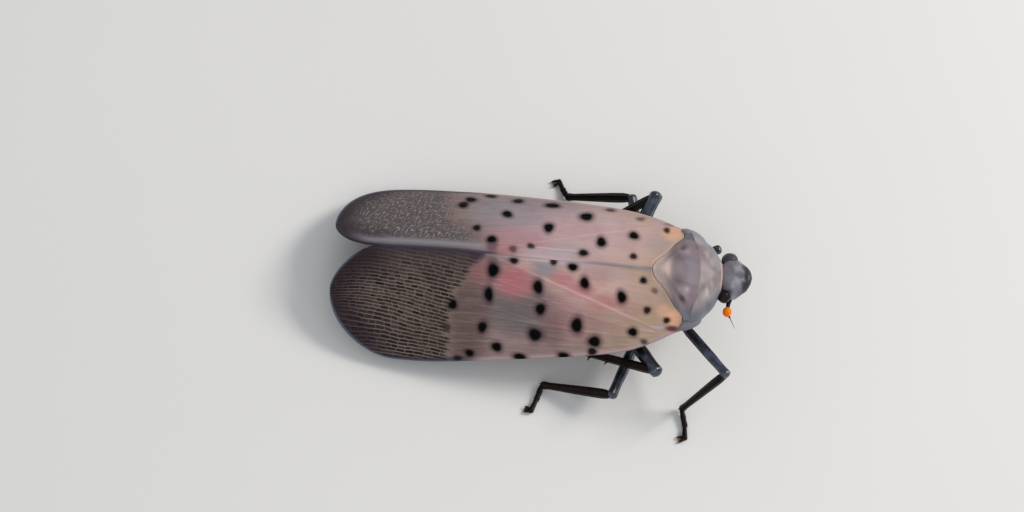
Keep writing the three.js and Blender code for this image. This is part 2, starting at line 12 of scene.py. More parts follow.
import bpy
import numpy as np
from bpy.props import FloatProperty, FloatVectorProperty, IntProperty, PointerProperty
from mathutils import Matrix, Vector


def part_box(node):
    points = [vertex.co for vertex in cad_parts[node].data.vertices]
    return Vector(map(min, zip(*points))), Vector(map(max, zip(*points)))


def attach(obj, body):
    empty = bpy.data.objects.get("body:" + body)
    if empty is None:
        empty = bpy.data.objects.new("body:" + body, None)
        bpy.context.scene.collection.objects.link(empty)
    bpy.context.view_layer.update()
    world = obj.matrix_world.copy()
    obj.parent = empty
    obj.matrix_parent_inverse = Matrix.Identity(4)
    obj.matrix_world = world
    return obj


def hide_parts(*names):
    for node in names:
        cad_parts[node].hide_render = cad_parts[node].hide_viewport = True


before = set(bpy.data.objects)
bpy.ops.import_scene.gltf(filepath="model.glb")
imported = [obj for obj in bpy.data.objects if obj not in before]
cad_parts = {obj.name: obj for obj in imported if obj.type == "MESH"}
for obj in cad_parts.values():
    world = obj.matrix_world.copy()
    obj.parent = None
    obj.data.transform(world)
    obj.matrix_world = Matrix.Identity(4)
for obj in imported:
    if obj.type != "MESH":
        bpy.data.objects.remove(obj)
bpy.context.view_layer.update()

bl_info = {
    "name": "Spotted lanternfly",
    "version": (1, 0, 0),
    "blender": (4, 5, 0),
    "location": "3D View > Sidebar > Lanternfly",
    "description": "Builds the skins, finishes, light and camera of a life-size lanternfly model",
    "category": "Add Mesh",
}

MM = 0.001

# Stance
PITCH = math.radians(10)  # the body's head-up tilt
FLOOR_X = -9.0  # the floor crosses the body frame's Z = 0 here

# Wings
WING_LENGTH = 21.06
WING_START = 0.05
WING_STEP = 0.05
WING_TIP_Y = 2.15
WING_BULGE = 0.35
TIP_ROUND_START = 17.0
DROOP, DROOP_START = 0.9, 17.3
SHIELD_POINT = -1.84
BASE_MARGIN = [  # half width of the shield between the wings
    (0.12, 2.62), (-0.08, 2.38), (-0.44, 2.0), (-0.7, 1.6), (-1.0, 1.17), (-1.36, 0.82), (-1.58, 0.6),
    (-1.72, 0.4), (-1.8, 0.2), (SHIELD_POINT, 0.0),
]
INNER_ROUND_START = 18.2
RIDGE_HEIGHT = [
    (0.5, 4.45), (-1.68, 4.63), (-3, 4.85), (-5, 5.18), (-8, 5.56), (-10, 5.8),
    (-12, 5.99), (-14.5, 6.2), (-17, 6.24), (-19, 6.14), (-21.4, 5.85),
]
EDGE_SPREAD = [
    (0.5, 3.5), (-0.3, 3.79), (-1, 4.1), (-2, 4.42), (-4, 4.84), (-6, 5.1), (-8, 5.29),
    (-10, 5.46), (-12, 5.6), (-14.5, 5.72), (-16, 5.72), (-17.5, 5.65), (-21.4, 5.5),
]
EDGE_HEIGHT = [
    (0.5, 3.12), (-1, 2.96), (-4, 2.7), (-8, 2.55), (-12, 2.38), (-14.5, 2.2), (-17.5, 2.22), (-21.4, 2.35),
]
SUTURE_Y, SUTURE_SLOPE = 3.9, 0.317  # the seam runs straight in plan
BASE_NARROWING = 0.27

# Body
TRUNK_WIDTH = [
    (2.42, 0.55), (2.3, 0.95), (1.95, 1.75), (1.5, 2.3), (1.0, 2.8), (0.5, 3.02),
    (0, 3.0), (-0.8, 2.8), (-1.8, 2.55), (-3.0, 2.35), (-3.9, 2.1),
]
TRUNK_TOP = [
    (2.42, 4.2), (2.3, 4.27), (1.5, 4.42), (0.5, 4.6), (-0.6, 4.78), (-1.8, 4.66), (-3, 4.3), (-3.9, 3.7),
]
TRUNK_WIDE = [(2.42, 3.7), (1.5, 3.55), (0.5, 3.5), (-1.8, 3.2), (-3.9, 2.7)]
TRUNK_BOTTOM = [(2.42, 3.1), (2.1, 2.5), (1.5, 2.1), (0.5, 1.85), (-1.8, 1.6), (-3.9, 1.55)]
TRUNK_POWER = 2.25
TRUNK_FRONT, TRUNK_BACK = TRUNK_WIDTH[0][0], TRUNK_WIDTH[-1][0]
THORAX_SHOWN_END = -2.6
COLLAR_X, COLLAR_CURVE, COLLAR_LEAN, COLLAR_TOP, COLLAR_LIMIT = 0.95, 0.106, 0.6, 4.6, 2.2

HEAD_LEVELS = [  # height, face, nape and half width
    (4.34, 3.5, 2.7, 0.45), (4.25, 3.87, 2.35, 0.86), (4.0, 4.09, 2.25, 1.07), (3.6, 4.1, 2.2, 1.12),
    (3.1, 3.9, 2.15, 0.94), (2.6, 3.62, 2.1, 0.78), (2.1, 3.3, 2.05, 0.64), (1.7, 2.98, 2.0, 0.5),
    (1.35, 2.66, 1.95, 0.34),
]
# By side, 1 for the left and -1 for the right: an eye's place and radii, a bulb's place, and a whip's aim
EYE_AT = {1: ((2.83, 1.13, 3.81), (0.5, 0.45, 0.53)), -1: ((2.54, 1.17, 3.64), (0.4, 0.4, 0.45))}
BULB_AT = {1: (2.84, 1.74, 2.86), -1: (2.78, 1.87, 2.95)}
WHIP_TO = {1: (3.3, 2.4, 2.1), -1: (3.35, 2.85, 2.45)}
BEAK_PATH = [(2.5, 0, 1.5), (2.35, 0, 1.08), (2.0, 0, 0.82), (1.2, 0, 0.77), (-2.85, 0, 0.7)]
BEAK_PROFILE = [  # share of the way and radius
    (0.0, 0.24), (0.1, 0.25), (0.18, 0.24), (0.3, 0.23), (0.32, 0.18), (0.34, 0.21),
    (0.66, 0.19), (0.68, 0.14), (0.7, 0.17), (0.93, 0.12), (1.0, 0.03),
]

ABDOMEN_WIDTH = [(-4.2, 1.9), (-5.5, 2.4), (-7.5, 2.55), (-9.5, 2.25), (-11.3, 1.6), (-12.8, 0.6)]
ABDOMEN_TOP = [(-4.2, 2.9), (-5.5, 3.2), (-7.5, 3.45), (-9.5, 3.5), (-11.3, 3.3), (-12.8, 2.7)]
ABDOMEN_BOTTOM = [(-4.2, 1.55), (-5.5, 1.2), (-7.5, 1.05), (-9.5, 1.1), (-11.3, 1.4), (-12.8, 1.95)]
ABDOMEN_FRONT, ABDOMEN_BACK = -3.7, -12.8
ABDOMEN_RINGS, ABDOMEN_RINGS_START = 7, -4.2

# Legs: root, trochanter and knee, then the places on the floor of the ankle, two foot joints and the claws
LEGS = {
    "front_right": ((0.95, -1.1, 2.35), (0.05, -2.0, 1.5), (2.8, -5.74, 2.6),
                    (0.42, -6.56), (0.64, -7.51), (0.67, -8.36), (0.12, -8.56)),
    "front_left": ((0.7, 1.1, 2.35), (-0.65, 1.75, 1.05), (2.24, 2.72, 1.95),
                   (1.2, 3.35), (0.5, 3.85), (-0.2, 4.2), (-0.65, 4.15)),
    "middle_right": ((-1.35, -1.2, 2.1), (-2.3, -2.5, 0.8), (-3.88, -6.76, 0.9),
                     (-8.11, -6.04), (-8.38, -6.9), (-8.69, -7.72), (-9.2, -7.62)),
    "middle_left": ((-1.35, 1.2, 2.1), (-2.2, 2.3, 0.85), (-3.11, 6.38, 1.1),
                    (-7.15, 6.77), (-7.4, 7.3), (-7.69, 7.85), (-8.2, 7.55)),
    "hind_right": ((-2.95, -1.1, 1.95), (-3.6, -2.0, 0.95), (-1.36, -5.77, 2.6),
                   (-7.1, -3.33), (-8.0, -3.42), (-8.9, -3.62), (-9.4, -3.6)),
    "hind_left": ((-2.95, 1.1, 1.95), (-3.6, 2.0, 0.95), (-1.69, 5.85, 2.6),
                  (-7.3, 3.4), (-8.2, 3.55), (-9.1, 3.85), (-9.6, 3.9)),
}
ANKLE_RISE, SOLE_RISE = 0.34, 0.2
THORN_SHARES = (0.3, 0.48, 0.66, 0.84)
# Radii of the thigh, the knee, the shin's top and its end
LEG_SIZES = {
    "front": (0.3, 0.29, 0.23, 0.17), "middle": (0.31, 0.31, 0.27, 0.19), "hind": (0.41, 0.4, 0.25, 0.18),
}

# Spots of the forewings: place along the wing, place across it, length, width, strength
SPOTS = {
    "right": [
        (-11.3, 1.1, 0.68, 0.96, 1), (-11.5, 2.55, 0.54, 0.94, 1), (-13.6, 3.35, 0.54, 0.6, 1),
        (-13.9, 4.75, 0.5, 0.42, 0.6), (-11.8, 4.55, 0.56, 0.7, 1), (-10.9, 5.7, 0.62, 0.66, 1),
        (-12.5, 6.25, 0.56, 0.46, 1), (-13.2, 6.65, 0.5, 0.36, 0.75), (-9.5, 6.2, 0.86, 0.42, 1),
        (-10.1, 0.43, 0.48, 0.38, 0.95), (-8.6, 1.85, 0.6, 0.9, 1), (-8.4, 3.15, 0.6, 0.76, 1),
        (-8.65, 4.72, 0.8, 0.88, 1), (-6.9, 5.85, 0.78, 0.42, 1), (-7.75, 0.28, 0.4, 0.38, 0.9),
        (-6.6, 0.47, 0.58, 0.5, 1), (-5.85, 1.35, 0.58, 0.74, 1), (-6.2, 3.9, 0.76, 0.92, 1),
        (-5.1, 4.78, 0.74, 0.74, 1), (-5.2, 5.4, 0.56, 0.46, 0.95), (-3.6, 1.95, 0.6, 0.76, 1),
        (-2.85, 3.95, 0.62, 0.5, 1), (-2.35, 0.8, 0.4, 0.42, 0.95), (-1.65, 1.35, 0.38, 0.36, 0.45),
        (-2.05, 2.55, 0.42, 0.42, 0.92), (-0.86, 3.05, 0.42, 0.36, 0.92), (-2.15, 4.45, 0.44, 0.3, 0.65),
    ],
    "left": [
        (-13.0, 5.35, 0.62, 0.9, 1), (-13.4, 4.55, 0.62, 0.9, 1), (-11.8, 6.1, 0.7, 0.6, 1),
        (-10.1, 5.5, 0.68, 0.7, 1), (-10.7, 3.65, 0.64, 0.76, 1), (-12.45, 2.0, 0.44, 0.6, 0.95),
        (-11.5, 1.05, 0.62, 0.62, 1), (-9.15, 0.75, 0.44, 0.46, 0.8), (-8.15, 2.55, 0.64, 0.9, 1),
        (-8.0, 5.15, 0.86, 0.76, 1), (-5.9, 4.0, 0.8, 0.95, 1), (-4.45, 5.05, 0.6, 0.5, 0.65),
        (-6.0, 0.6, 0.56, 0.56, 0.97), (-4.95, 1.65, 0.62, 0.86, 1), (-3.0, 2.5, 0.58, 0.72, 1),
        (-3.0, 0.75, 0.4, 0.5, 0.9), (-2.6, 4.2, 0.55, 0.44, 0.5), (-1.0, 3.25, 0.38, 0.5, 0.85),
        (-10.2, 0.4, 0.42, 0.5, 0.55),
    ],
}
SIDES = {"left": 1, "right": -1}

# The numbers of the finishes in pieces that have several
SHELL, PAD, SHIN = 0, 1, 2
BULB, STALK = 0, 1
BEAD = 1


def srgb(red, green, blue):
    """A colour given as screen values up to 255, as the linear values that a shader takes."""
    values = [c / 255 for c in (red, green, blue)]
    return tuple(c / 12.92 if c <= 0.04045 else ((c + 0.055) / 1.055) ** 2.4 for c in values)


def colour(name, description, *rgb):
    return FloatVectorProperty(name=name, description=description, subtype="COLOR", size=3, min=0, max=1,
                               default=srgb(*rgb))


def length(name, description, millimetres):
    return FloatProperty(name=name, description=description, default=millimetres * MM, min=0, precision=5,
                         subtype="DISTANCE", unit="LENGTH")


# Curves and surfaces in the body frame

def along(table, x):
    """Smooth value at x of a list of (x, value) pairs with falling x."""
    xs, ys = np.array(table, float).T
    x = np.asarray(x, float)
    p = np.clip(np.searchsorted(-xs, -x, side="right") - 1, 0, len(xs) - 2)
    q, before, after = p + 1, np.maximum(p - 1, 0), np.minimum(p + 2, len(xs) - 1)
    span = xs[q] - xs[p]
    s = np.clip((x - xs[p]) / span, 0, 1)
    slope_p = (ys[q] - ys[before]) / (xs[q] - xs[before]) * span
    slope_q = (ys[after] - ys[p]) / (xs[after] - xs[p]) * span
    from_p = (2 * s**3 - 3 * s**2 + 1) * ys[p] + (s**3 - 2 * s**2 + s) * slope_p
    return from_p + (3 * s**2 - 2 * s**3) * ys[q] + (s**3 - s**2) * slope_q


def smooth(low, high, value):
    s = np.clip((np.asarray(value, float) - low) / (high - low), 0, 1)
    return s * s * (3 - 2 * s)


def unit(vector):
    vector = np.asarray(vector, float)
    return vector / np.maximum(np.linalg.norm(vector, axis=-1, keepdims=True), 1e-12)


def mirrored(point, side):
    return np.array([point[0], point[1] * side, point[2]], float)


def roof_shares(t):
    """How far out and how far down the wing's section has come at t."""
    turn = t * math.pi / 2
    straight = (1 - WING_BULGE) * t
    return straight + WING_BULGE * np.sin(turn), straight + WING_BULGE * (1 - np.cos(turn))


def roof(x, t):
    """Point of the forewing's outer surface, t from 0 at the ridge to 1 at the edge."""
    top, edge, low = along(RIDGE_HEIGHT, x), along(EDGE_SPREAD, x), along(EDGE_HEIGHT, x)
    out, down = roof_shares(t)
    past = np.maximum(0, -x - DROOP_START) / (WING_LENGTH - DROOP_START)
    droop = DROOP * past**2 * (1 - 0.8 * t)
    return np.stack([x + 0 * t, edge * out, top - (top - low) * down - droop], -1)


def across(x, y):
    """The t at which the roof is y wide."""
    samples = np.linspace(0, 1.2, 400)
    return np.interp(y / along(EDGE_SPREAD, x), roof_shares(samples)[0], samples)


def inner_edge(x):
    tip = np.clip((-x - INNER_ROUND_START) / (WING_LENGTH - INNER_ROUND_START), 0, 1)
    rounding = WING_TIP_Y * (1 - (1 - tip**1.7) ** (1 / 1.7))
    return np.maximum(rounding, along(BASE_MARGIN, x))


def outer_edge(x):
    full = roof(x, 1.0 + 0 * x)[..., 1] - BASE_NARROWING * smooth(-3.4, -0.3, x)
    tip = np.clip((-x - TIP_ROUND_START) / (WING_LENGTH - TIP_ROUND_START), 0, 1)
    return WING_TIP_Y + (full - WING_TIP_Y) * np.sqrt(1 - tip**2)


def wing_rows(step):
    """Stations along the wing, set closer beside the shield's point and in the round tip."""
    stretches = [(WING_START, -1.3, step), (-1.3, -2.0, step / 4), (-2.0, -TIP_ROUND_START, step)]
    straight = [np.linspace(a, b, round((a - b) / gap), endpoint=False) for a, b, gap in stretches]
    reach = WING_LENGTH - 0.015 - TIP_ROUND_START
    turns = np.linspace(0, math.pi / 2, int(reach * 1.35 / step))
    return np.concatenate([*straight, -TIP_ROUND_START - reach * np.sin(turns)])


def tipped(points):
    """Body-frame points with the body's head-up tilt."""
    p = np.asarray(points, float)
    c, s = math.cos(PITCH), math.sin(PITCH)
    return np.stack([p[..., 0] * c - p[..., 2] * s, p[..., 1], p[..., 0] * s + p[..., 2] * c], -1)


def find_origin():
    """Where the body frame's origin stands in the row's frame, in mm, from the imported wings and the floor."""
    (left_low, left_high), (right_low, _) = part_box("forewing_left"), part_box("forewing_right")
    x = wing_rows(0.1)[:, None]
    shares = np.linspace(0, 1, 60)[None, :]
    t_in, t_out = across(x, inner_edge(x)), across(x, outer_edge(x))
    outline = tipped(roof(x + 0 * shares, t_in + (t_out - t_in) * shares))
    return np.array([
        left_low.x / MM - outline[..., 0].min(),
        (left_high.y + right_low.y) / 2 / MM,
        -FLOOR_X * math.sin(PITCH),
    ])


ORIGIN = find_origin()


def in_row(points):
    """Body-frame millimetres as row-frame metres, kept on or above the floor."""
    placed = (tipped(points) + ORIGIN) * MM
    placed[..., 2] = np.maximum(placed[..., 2], 0)
    return placed


def floor_at(x):
    return -(x - FLOOR_X) * math.tan(PITCH)


def on_floor(place, rise):
    return np.array([place[0], place[1], floor_at(place[0]) + rise])


# Mesh making

class Shape:
    """Points and faces of one piece, gathered part by part, each with its finish's number and its masks."""

    def __init__(self):
        self.points, self.faces, self.numbers, self.masks, self.count = [], [], [], {}, 0

    def add(self, points, faces, number=0, **masks):
        points = np.asarray(points, float).reshape(-1, 3)
        for name in {**self.masks, **masks}:
            earlier = self.masks.setdefault(name, [np.zeros(self.count)])
            value = masks.get(name, 0.0)
            earlier.append(np.broadcast_to(np.asarray(value, float).reshape(-1), (len(points),)))
        self.points.append(points)
        self.faces.extend([tuple(int(i) + self.count for i in face) for face in faces])
        self.numbers.extend([number] * len(faces))
        self.count += len(points)

    def piece(self, name, finishes, slot, nodes):
        """Makes the object, sets it in the row's frame and lets it stand for its CAD nodes."""
        mesh = bpy.data.meshes.new(name)
        mesh.from_pydata(in_row(np.concatenate(self.points)).tolist(), [], self.faces)
        mesh.polygons.foreach_set("material_index", self.numbers)
        mesh.polygons.foreach_set("use_smooth", [True] * len(mesh.polygons))
        for key, parts in self.masks.items():
            layer = mesh.attributes.new(key, "FLOAT", "POINT")
            layer.data.foreach_set("value", np.concatenate(parts).astype(np.float32))
        for finish_name in finishes:
            mesh.materials.append(finish(finish_name))
        if mesh.validate():
            raise RuntimeError(f"{name} has faces that Blender can't use")
        mesh.update()
        made = bpy.data.objects.new(name, mesh)
        bpy.context.scene.collection.objects.link(made)
        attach(made, "root")
        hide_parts(*nodes)


def grid_faces(rows, columns, closed=False, flip=False, start=0):
    """Quads over a grid of points, joined round when closed."""
    i, j = np.meshgrid(np.arange(rows - 1), np.arange(columns if closed else columns - 1), indexing="ij")
    k = (j + 1) % columns
    quads = np.stack([i * columns + j, (i + 1) * columns + j, (i + 1) * columns + k, i * columns + k], -1)
    quads = quads.reshape(-1, 4) + start
    return quads[:, ::-1] if flip else quads


def loft(rings):
    """A closed skin over rings of points, with its ends drawn in to their middles."""
    rings = np.asarray(rings, float)
    count, sides, _ = rings.shape
    points = np.concatenate([rings.reshape(-1, 3), rings[0].mean(0)[None], rings[-1].mean(0)[None]])
    faces = [tuple(q) for q in grid_faces(count, sides, closed=True)]
    first, last = count * sides, count * sides + 1
    for j in range(sides):
        k = (j + 1) % sides
        faces.append((first, j, k))
        faces.append((last, (count - 1) * sides + k, (count - 1) * sides + j))
    return points, faces


def frames_along(path, guess=None):
    """Two unit vectors across a path at each of its points, turning as little as they can."""
    tangent = unit(np.gradient(path, axis=0))
    if guess is None:
        guess = np.array([0, 0, 1.0]) if abs(tangent[0][2]) < 0.9 else np.array([1.0, 0, 0])
    ups = []
    for t in tangent:
        guess = unit(guess - t * (guess @ t))
        ups.append(guess)
    ups = np.array(ups)
    return ups, np.cross(ups, tangent)


def tube(path, radii, sides=20, ridges=0, ridge_depth=0.0, up=None, width=1.0):
    """A skin round a path with a radius at each point, ridges along it, and width times as wide as high."""
    path, radii = np.asarray(path, float), np.asarray(radii, float)
    up, side = frames_along(path, up)
    side = side * width
    turn = np.linspace(0, 2 * math.pi, sides, endpoint=False)
    wave = 1 + ridge_depth * (np.abs(np.cos(turn * ridges / 2)) ** 3 - 0.4) if ridges else np.ones(sides)
    reach = radii[:, None] * wave[None, :]
    spokes = np.cos(turn)[None, :, None] * up[:, None] + np.sin(turn)[None, :, None] * side[:, None]
    return loft(path[:, None] + reach[..., None] * spokes)


def limb(start, end, profile, steps=40, **how):
    """A straight tube. The profile gives (share of the way, radius) pairs, past 0 and 1 for round ends."""
    start, end = np.asarray(start, float), np.asarray(end, float)
    shares, radii = np.array(profile, float).T
    stretches = [(shares[0], shares[-1], steps), (shares[0], shares[1], 8), (shares[-2], shares[-1], 8)]
    s = np.unique(np.concatenate([np.linspace(*stretch) for stretch in stretches]))
    return tube(start + (end - start) * s[:, None], np.interp(s, shares, radii), **how)


def end_cap(radius, long, at_end, depth=1.0):
    """Profile points that round off a limb's end over a depth given in radii. The limb is this long."""
    turns = np.linspace(0, math.pi / 2, 6)
    cap = [(radius * depth * math.sin(a) / long, radius * math.cos(a)) for a in turns]
    if at_end:
        return [(1 + share, size) for share, size in cap]
    return [(-share, size) for share, size in reversed(cap)]


def spike(root, tip, radius, sides=6, hook=0.0, hook_to=(0, 0, -1), steps=7):
    """A pointed spine or claw, which bows out by the hook at its middle."""
    root, tip = np.asarray(root, float), np.asarray(tip, float)
    s = np.linspace(0, 1, steps)
    bow = hook * np.sin(s * math.pi)
    path = root + (tip - root) * s[:, None] + np.asarray(hook_to, float) * bow[:, None]
    return tube(path, radius * np.maximum(1 - s, 0.02) ** 0.75, sides=sides)


def egg(centre, radii, around, high):
    """An ellipsoid as rings from pole to pole."""
    a = np.linspace(0.02, math.pi - 0.02, high)[:, None]
    b = np.linspace(0, 2 * math.pi, around, endpoint=False)[None, :]
    rings = np.stack([np.cos(b) * np.sin(a), np.sin(b) * np.sin(a), np.cos(a) + 0 * b], -1)
    return loft(rings * np.asarray(radii, float) + np.asarray(centre, float))


def skinned(rings, masks, first=0.0):
    """A shape of one skin over rings. In its end faces' middles the masks are first in front and 0 behind."""
    shape = Shape()
    shape.add(*loft(rings), **{name: np.append(value.ravel(), [first, 0]) for name, value in masks.items()})
    return shape


def normals_facing(points, way):
    """Unit normals of a grid of points, on the side that way points to."""
    normal = unit(np.cross(np.gradient(points, axis=1), np.gradient(points, axis=0)))
    normal[(normal * way).sum(-1) < 0] *= -1
    return normal


def outward_normals(rings):
    """Unit normals of closed rings of points, away from the middle of each ring."""
    joined = np.concatenate([rings, rings[:, :1]], 1)
    return normals_facing(joined, joined - rings.mean(1, keepdims=True))[:, :-1]


# Masks and relief

def hump(value, width):
    """1 where the value is 0, falling off over the width on both sides."""
    return np.exp(-((value / width) ** 2))


def nearness(points, centre, radii):
    """1 at the centre, falling off over the radii."""
    away = (points - np.asarray(centre, float)) / np.asarray(radii, float)
    return np.exp(-(away**2).sum(-1))


def swollen(points, normals, bumps):
    """Points moved along their normals by soft bumps: (centre, radii, height) each."""
    moved = sum(height * nearness(points, centre, radii) for centre, radii, height in bumps)
    return points + normals * moved[..., None]


def both_sides(bumps):
    """The bumps, with those off the middle also on the other side."""
    return bumps + [((c[0], -c[1], c[2]), radii, height) for c, radii, height in bumps if c[1]]


def patches(x, w, places):
    """How much soft patches, given as (x, w, half length, half width, strength), cover each place."""
    cover = np.zeros(np.broadcast(x, w).shape)
    for patch_x, patch_w, half_x, half_w, strength in places:
        away = ((x - patch_x) / half_x) ** 2 + ((w - patch_w) / half_w) ** 2
        cover = np.maximum(cover, strength * np.exp(-(away**2) * 0.7))
    return cover


def speckle(shape, seed):
    return np.random.default_rng(seed).random(shape)


# Forewings

NET_PITCH, NET_CELL, NET_ROWS = 0.225, 0.5, 200
NET_SLOPE, NET_MIDDLE_SLOPE = 0.14, 0.1
NET_START, NET_SWEEP, NET_SWEEP_WIDTH = -12.15, 1.65, 3.8
RIB_PITCH = 0.34
SHARP_MARGIN_END = -4.0
VEIN_SHARES = (0.265, 0.525, 0.78)
VEIN_FORKS = {0.265: (-5.5, 0.075), 0.525: (-7.0, 0.08), 0.78: (-8.5, 0.07)}

# Patches of colour: place along, place across, half length, half width, strength
WING_PATCHES = {
    "pink": {
        "right": [
            (-10.0, 1.65, 1.2, 0.9, 0.95), (-7.15, 1.3, 0.8, 0.5, 0.7), (-6.1, 1.75, 0.95, 0.55, 0.75),
            (-4.7, 2.35, 1.1, 0.5, 0.65), (-3.2, 2.6, 1.1, 0.5, 0.3), (-6.3, 3.4, 2.2, 1.3, 0.25),
            (-12.0, 1.2, 0.9, 0.9, 0.35), (-5.2, 0.9, 1.0, 0.5, 0.25),
        ],
        "left": [
            (-9.6, 1.35, 1.7, 1.0, 0.55), (-6.4, 2.4, 1.9, 0.9, 0.4), (-3.6, 1.9, 1.3, 0.9, 0.1),
            (-10.6, 0.5, 1.2, 0.6, 0.55),
        ],
    },
    "grey": {
        "right": [(-9.6, 3.4, 2.3, 1.45, 1.0), (-9.2, 5.4, 3.0, 1.0, 0.15)],
        "left": [(-10.7, 4.1, 2.3, 1.9, 0.9), (-7.9, 4.9, 1.6, 1.1, 0.4), (-12.6, 2.4, 1.0, 1.6, 0.6)],
    },
    "haze": {
        "right": [(-8.35, 0.7, 0.75, 0.5, 0.9), (-5.0, 0.75, 1.4, 0.4, 0.35)],
        "left": [(-10.9, 4.3, 2.2, 1.9, 0.55), (-6.9, 0.8, 1.1, 0.5, 0.5), (-1.5, 1.9, 1.0, 0.8, 0.35)],
    },
    "umber": {
        "right": [(-12.7, 3.4, 1.35, 4.2, 1.0), (-7.6, 4.5, 0.7, 0.9, 0.6)],
        "left": [],
    },
    # Lighter peach patches; on the left wing they also paint the stronger light that falls on it.
    "glow": {
        "right": [
            (-5.4, 1.4, 2.6, 1.4, 1.0), (-9.3, 0.7, 0.8, 0.4, 0.8), (-7.0, 1.7, 1.0, 0.8, 0.6),
            (-3.4, 1.3, 1.5, 0.9, 0.5), (-1.2, 1.6, 0.7, 0.7, 0.4),
        ],
        "left": [(-5.0, 2.2, 4.0, 2.4, 0.9), (-7.2, 1.0, 1.6, 0.8, 0.5)],
    },
    "blush": {
        "right": [
            (-7.2, 0.12, 1.9, 0.3, 0.9), (-10.6, 0.1, 1.5, 0.2, 0.6), (-1.2, 3.5, 0.5, 0.09, 0.75),
            (-1.9, 3.75, 0.6, 0.08, 0.5),
        ],
        # The last left patch is a painted highlight on the left wing's outer margin by its shoulder.
        "left": [(-8.2, 0.3, 1.6, 0.45, 0.8), (-7.2, 2.9, 4.6, 2.6, 0.42), (-1.4, 3.8, 0.45, 0.22, 0.8)],
    },
    "orange": {
        "right": [(-0.4, 2.85, 0.65, 0.5, 1.0), (-1.0, 2.5, 0.5, 0.4, 0.55)],
        "left": [(-0.65, 3.0, 0.6, 0.6, 0.65), (-0.3, 3.5, 0.4, 0.4, 0.7)],
    },
    "dusk": {
        "right": [
            (-12.3, 0.18, 0.55, 0.3, 0.9), (-11.35, 0.3, 0.3, 0.6, 0.35), (-14.5, 0.1, 3.2, 0.4, 0.5),
        ],
        "left": [(-11.45, 0.55, 0.34, 0.6, 0.6)],
    },
    "rust": {
        "right": [(-0.5, 3.52, 0.42, 0.17, 1.0)],
        "left": [(-0.7, 3.85, 0.6, 0.14, 0.5)],
    },
}
PALE_LINES = {"right": [(-8.7, 0.27, 1.2, 0.06, 1.0)], "left": [(-7.6, 0.7, 1.9, 0.07, 1.0)]}


def wing_grid(step, columns):
    """Places along and across one wing, with its edges and vein places across, in mm from the ridge."""
    x = wing_rows(step)
    t_in, t_out = across(x, inner_edge(x)), across(x, outer_edge(x))
    t = t_in[:, None] + (t_out - t_in)[:, None] * np.linspace(0, 1, columns)[None, :]
    samples = np.linspace(0, 1.2, 160)
    reach = np.zeros((len(x), len(samples)))
    section = roof(x[:, None] + 0 * samples, samples[None, :] + 0 * x[:, None])
    reach[:, 1:] = np.cumsum(np.linalg.norm(np.diff(section, axis=1), axis=2), axis=1)

    def width(values):
        return np.array([np.interp(v, samples, r) for v, r in zip(values, reach)])

    clavus = np.clip(across(x, SUTURE_Y + SUTURE_SLOPE * x), t_in, t_out)
    veins = {0.0: width(clavus[:, None])[:, 0]}
    for share in VEIN_SHARES:
        veins[share] = width((clavus + share * (t_out - clavus))[:, None])[:, 0]
    return x, t, width(t), veins, width(t_in[:, None])[:, 0], width(t_out[:, None])[:, 0]


def edge_distance(x, w, w_in, w_out):
    """Distance of each place to the wing's inner and outer margins, in mm."""
    slope_in, slope_out = np.gradient(w_in, x), np.gradient(w_out, x)
    from_in = (w - w_in[:, None]) / np.sqrt(1 + slope_in**2)[:, None]
    from_out = (w_out[:, None] - w) / np.sqrt(1 + slope_out**2)[:, None]
    # Beside the shield the inner margin turns sharply, so the nearest of many points on it counts there
    margin = np.linspace(WING_START, SHARP_MARGIN_END - 0.2, 600)
    margin_w = np.interp(-margin, -x, w_in)
    for i in np.flatnonzero(x > SHARP_MARGIN_END):
        nearest = np.hypot(margin - x[i], w[i][:, None] - margin_w).min(1)
        from_in[i] += (nearest - from_in[i]) * smooth(SHARP_MARGIN_END, SHARP_MARGIN_END + 0.5, x[i])
    return from_in, from_out


def net_of_veins(x, w, seed, fade):
    """Masks of the tip's net: its cells, the zone that it fills and its lines. The cells are staggered."""
    slope = NET_SLOPE + NET_MIDDLE_SLOPE * hump(w - 3.7, 1.3)
    waver = 0.018 * np.sin(1.9 * x + 1.3 * w + seed) + 0.01 * np.sin(5.1 * x - 2.9 * w)
    waver = waver + 0.006 * np.sin(9.3 * x + 4 * w)
    phase = (w - slope * (x + 15) + waver) / NET_PITCH + 40
    row = np.floor(phase).astype(int)
    beside = phase - row
    shift = speckle(NET_ROWS, seed)[row % NET_ROWS]
    start = NET_START - NET_SWEEP * smooth(0, NET_SWEEP_WIDTH, w) + 0.5 * (shift - 0.5)
    zone = smooth(fade, -fade, x - start)
    long = NET_CELL * (0.7 + 0.6 * speckle(NET_ROWS, seed + 50)[row % NET_ROWS])
    place = (x + 0.31 * NET_CELL * row + 0.2 * shift + 0.04 * np.sin(9 * x + 5 * row)) / long
    column = np.floor(place).astype(int)
    beyond = place - column
    deep = speckle((64, 64), seed + 90)[row % 64, column % 64]
    lines = smooth(0.31, 0.47, np.abs(beside - 0.5))
    crossing = smooth(0.41, 0.49, np.abs(beyond - 0.5))
    open_cell = (1 - lines) * (1 - 0.4 * crossing)
    return open_cell * (0.75 + 0.25 * deep) * zone, zone, np.maximum(lines, 0.4 * crossing) * zone


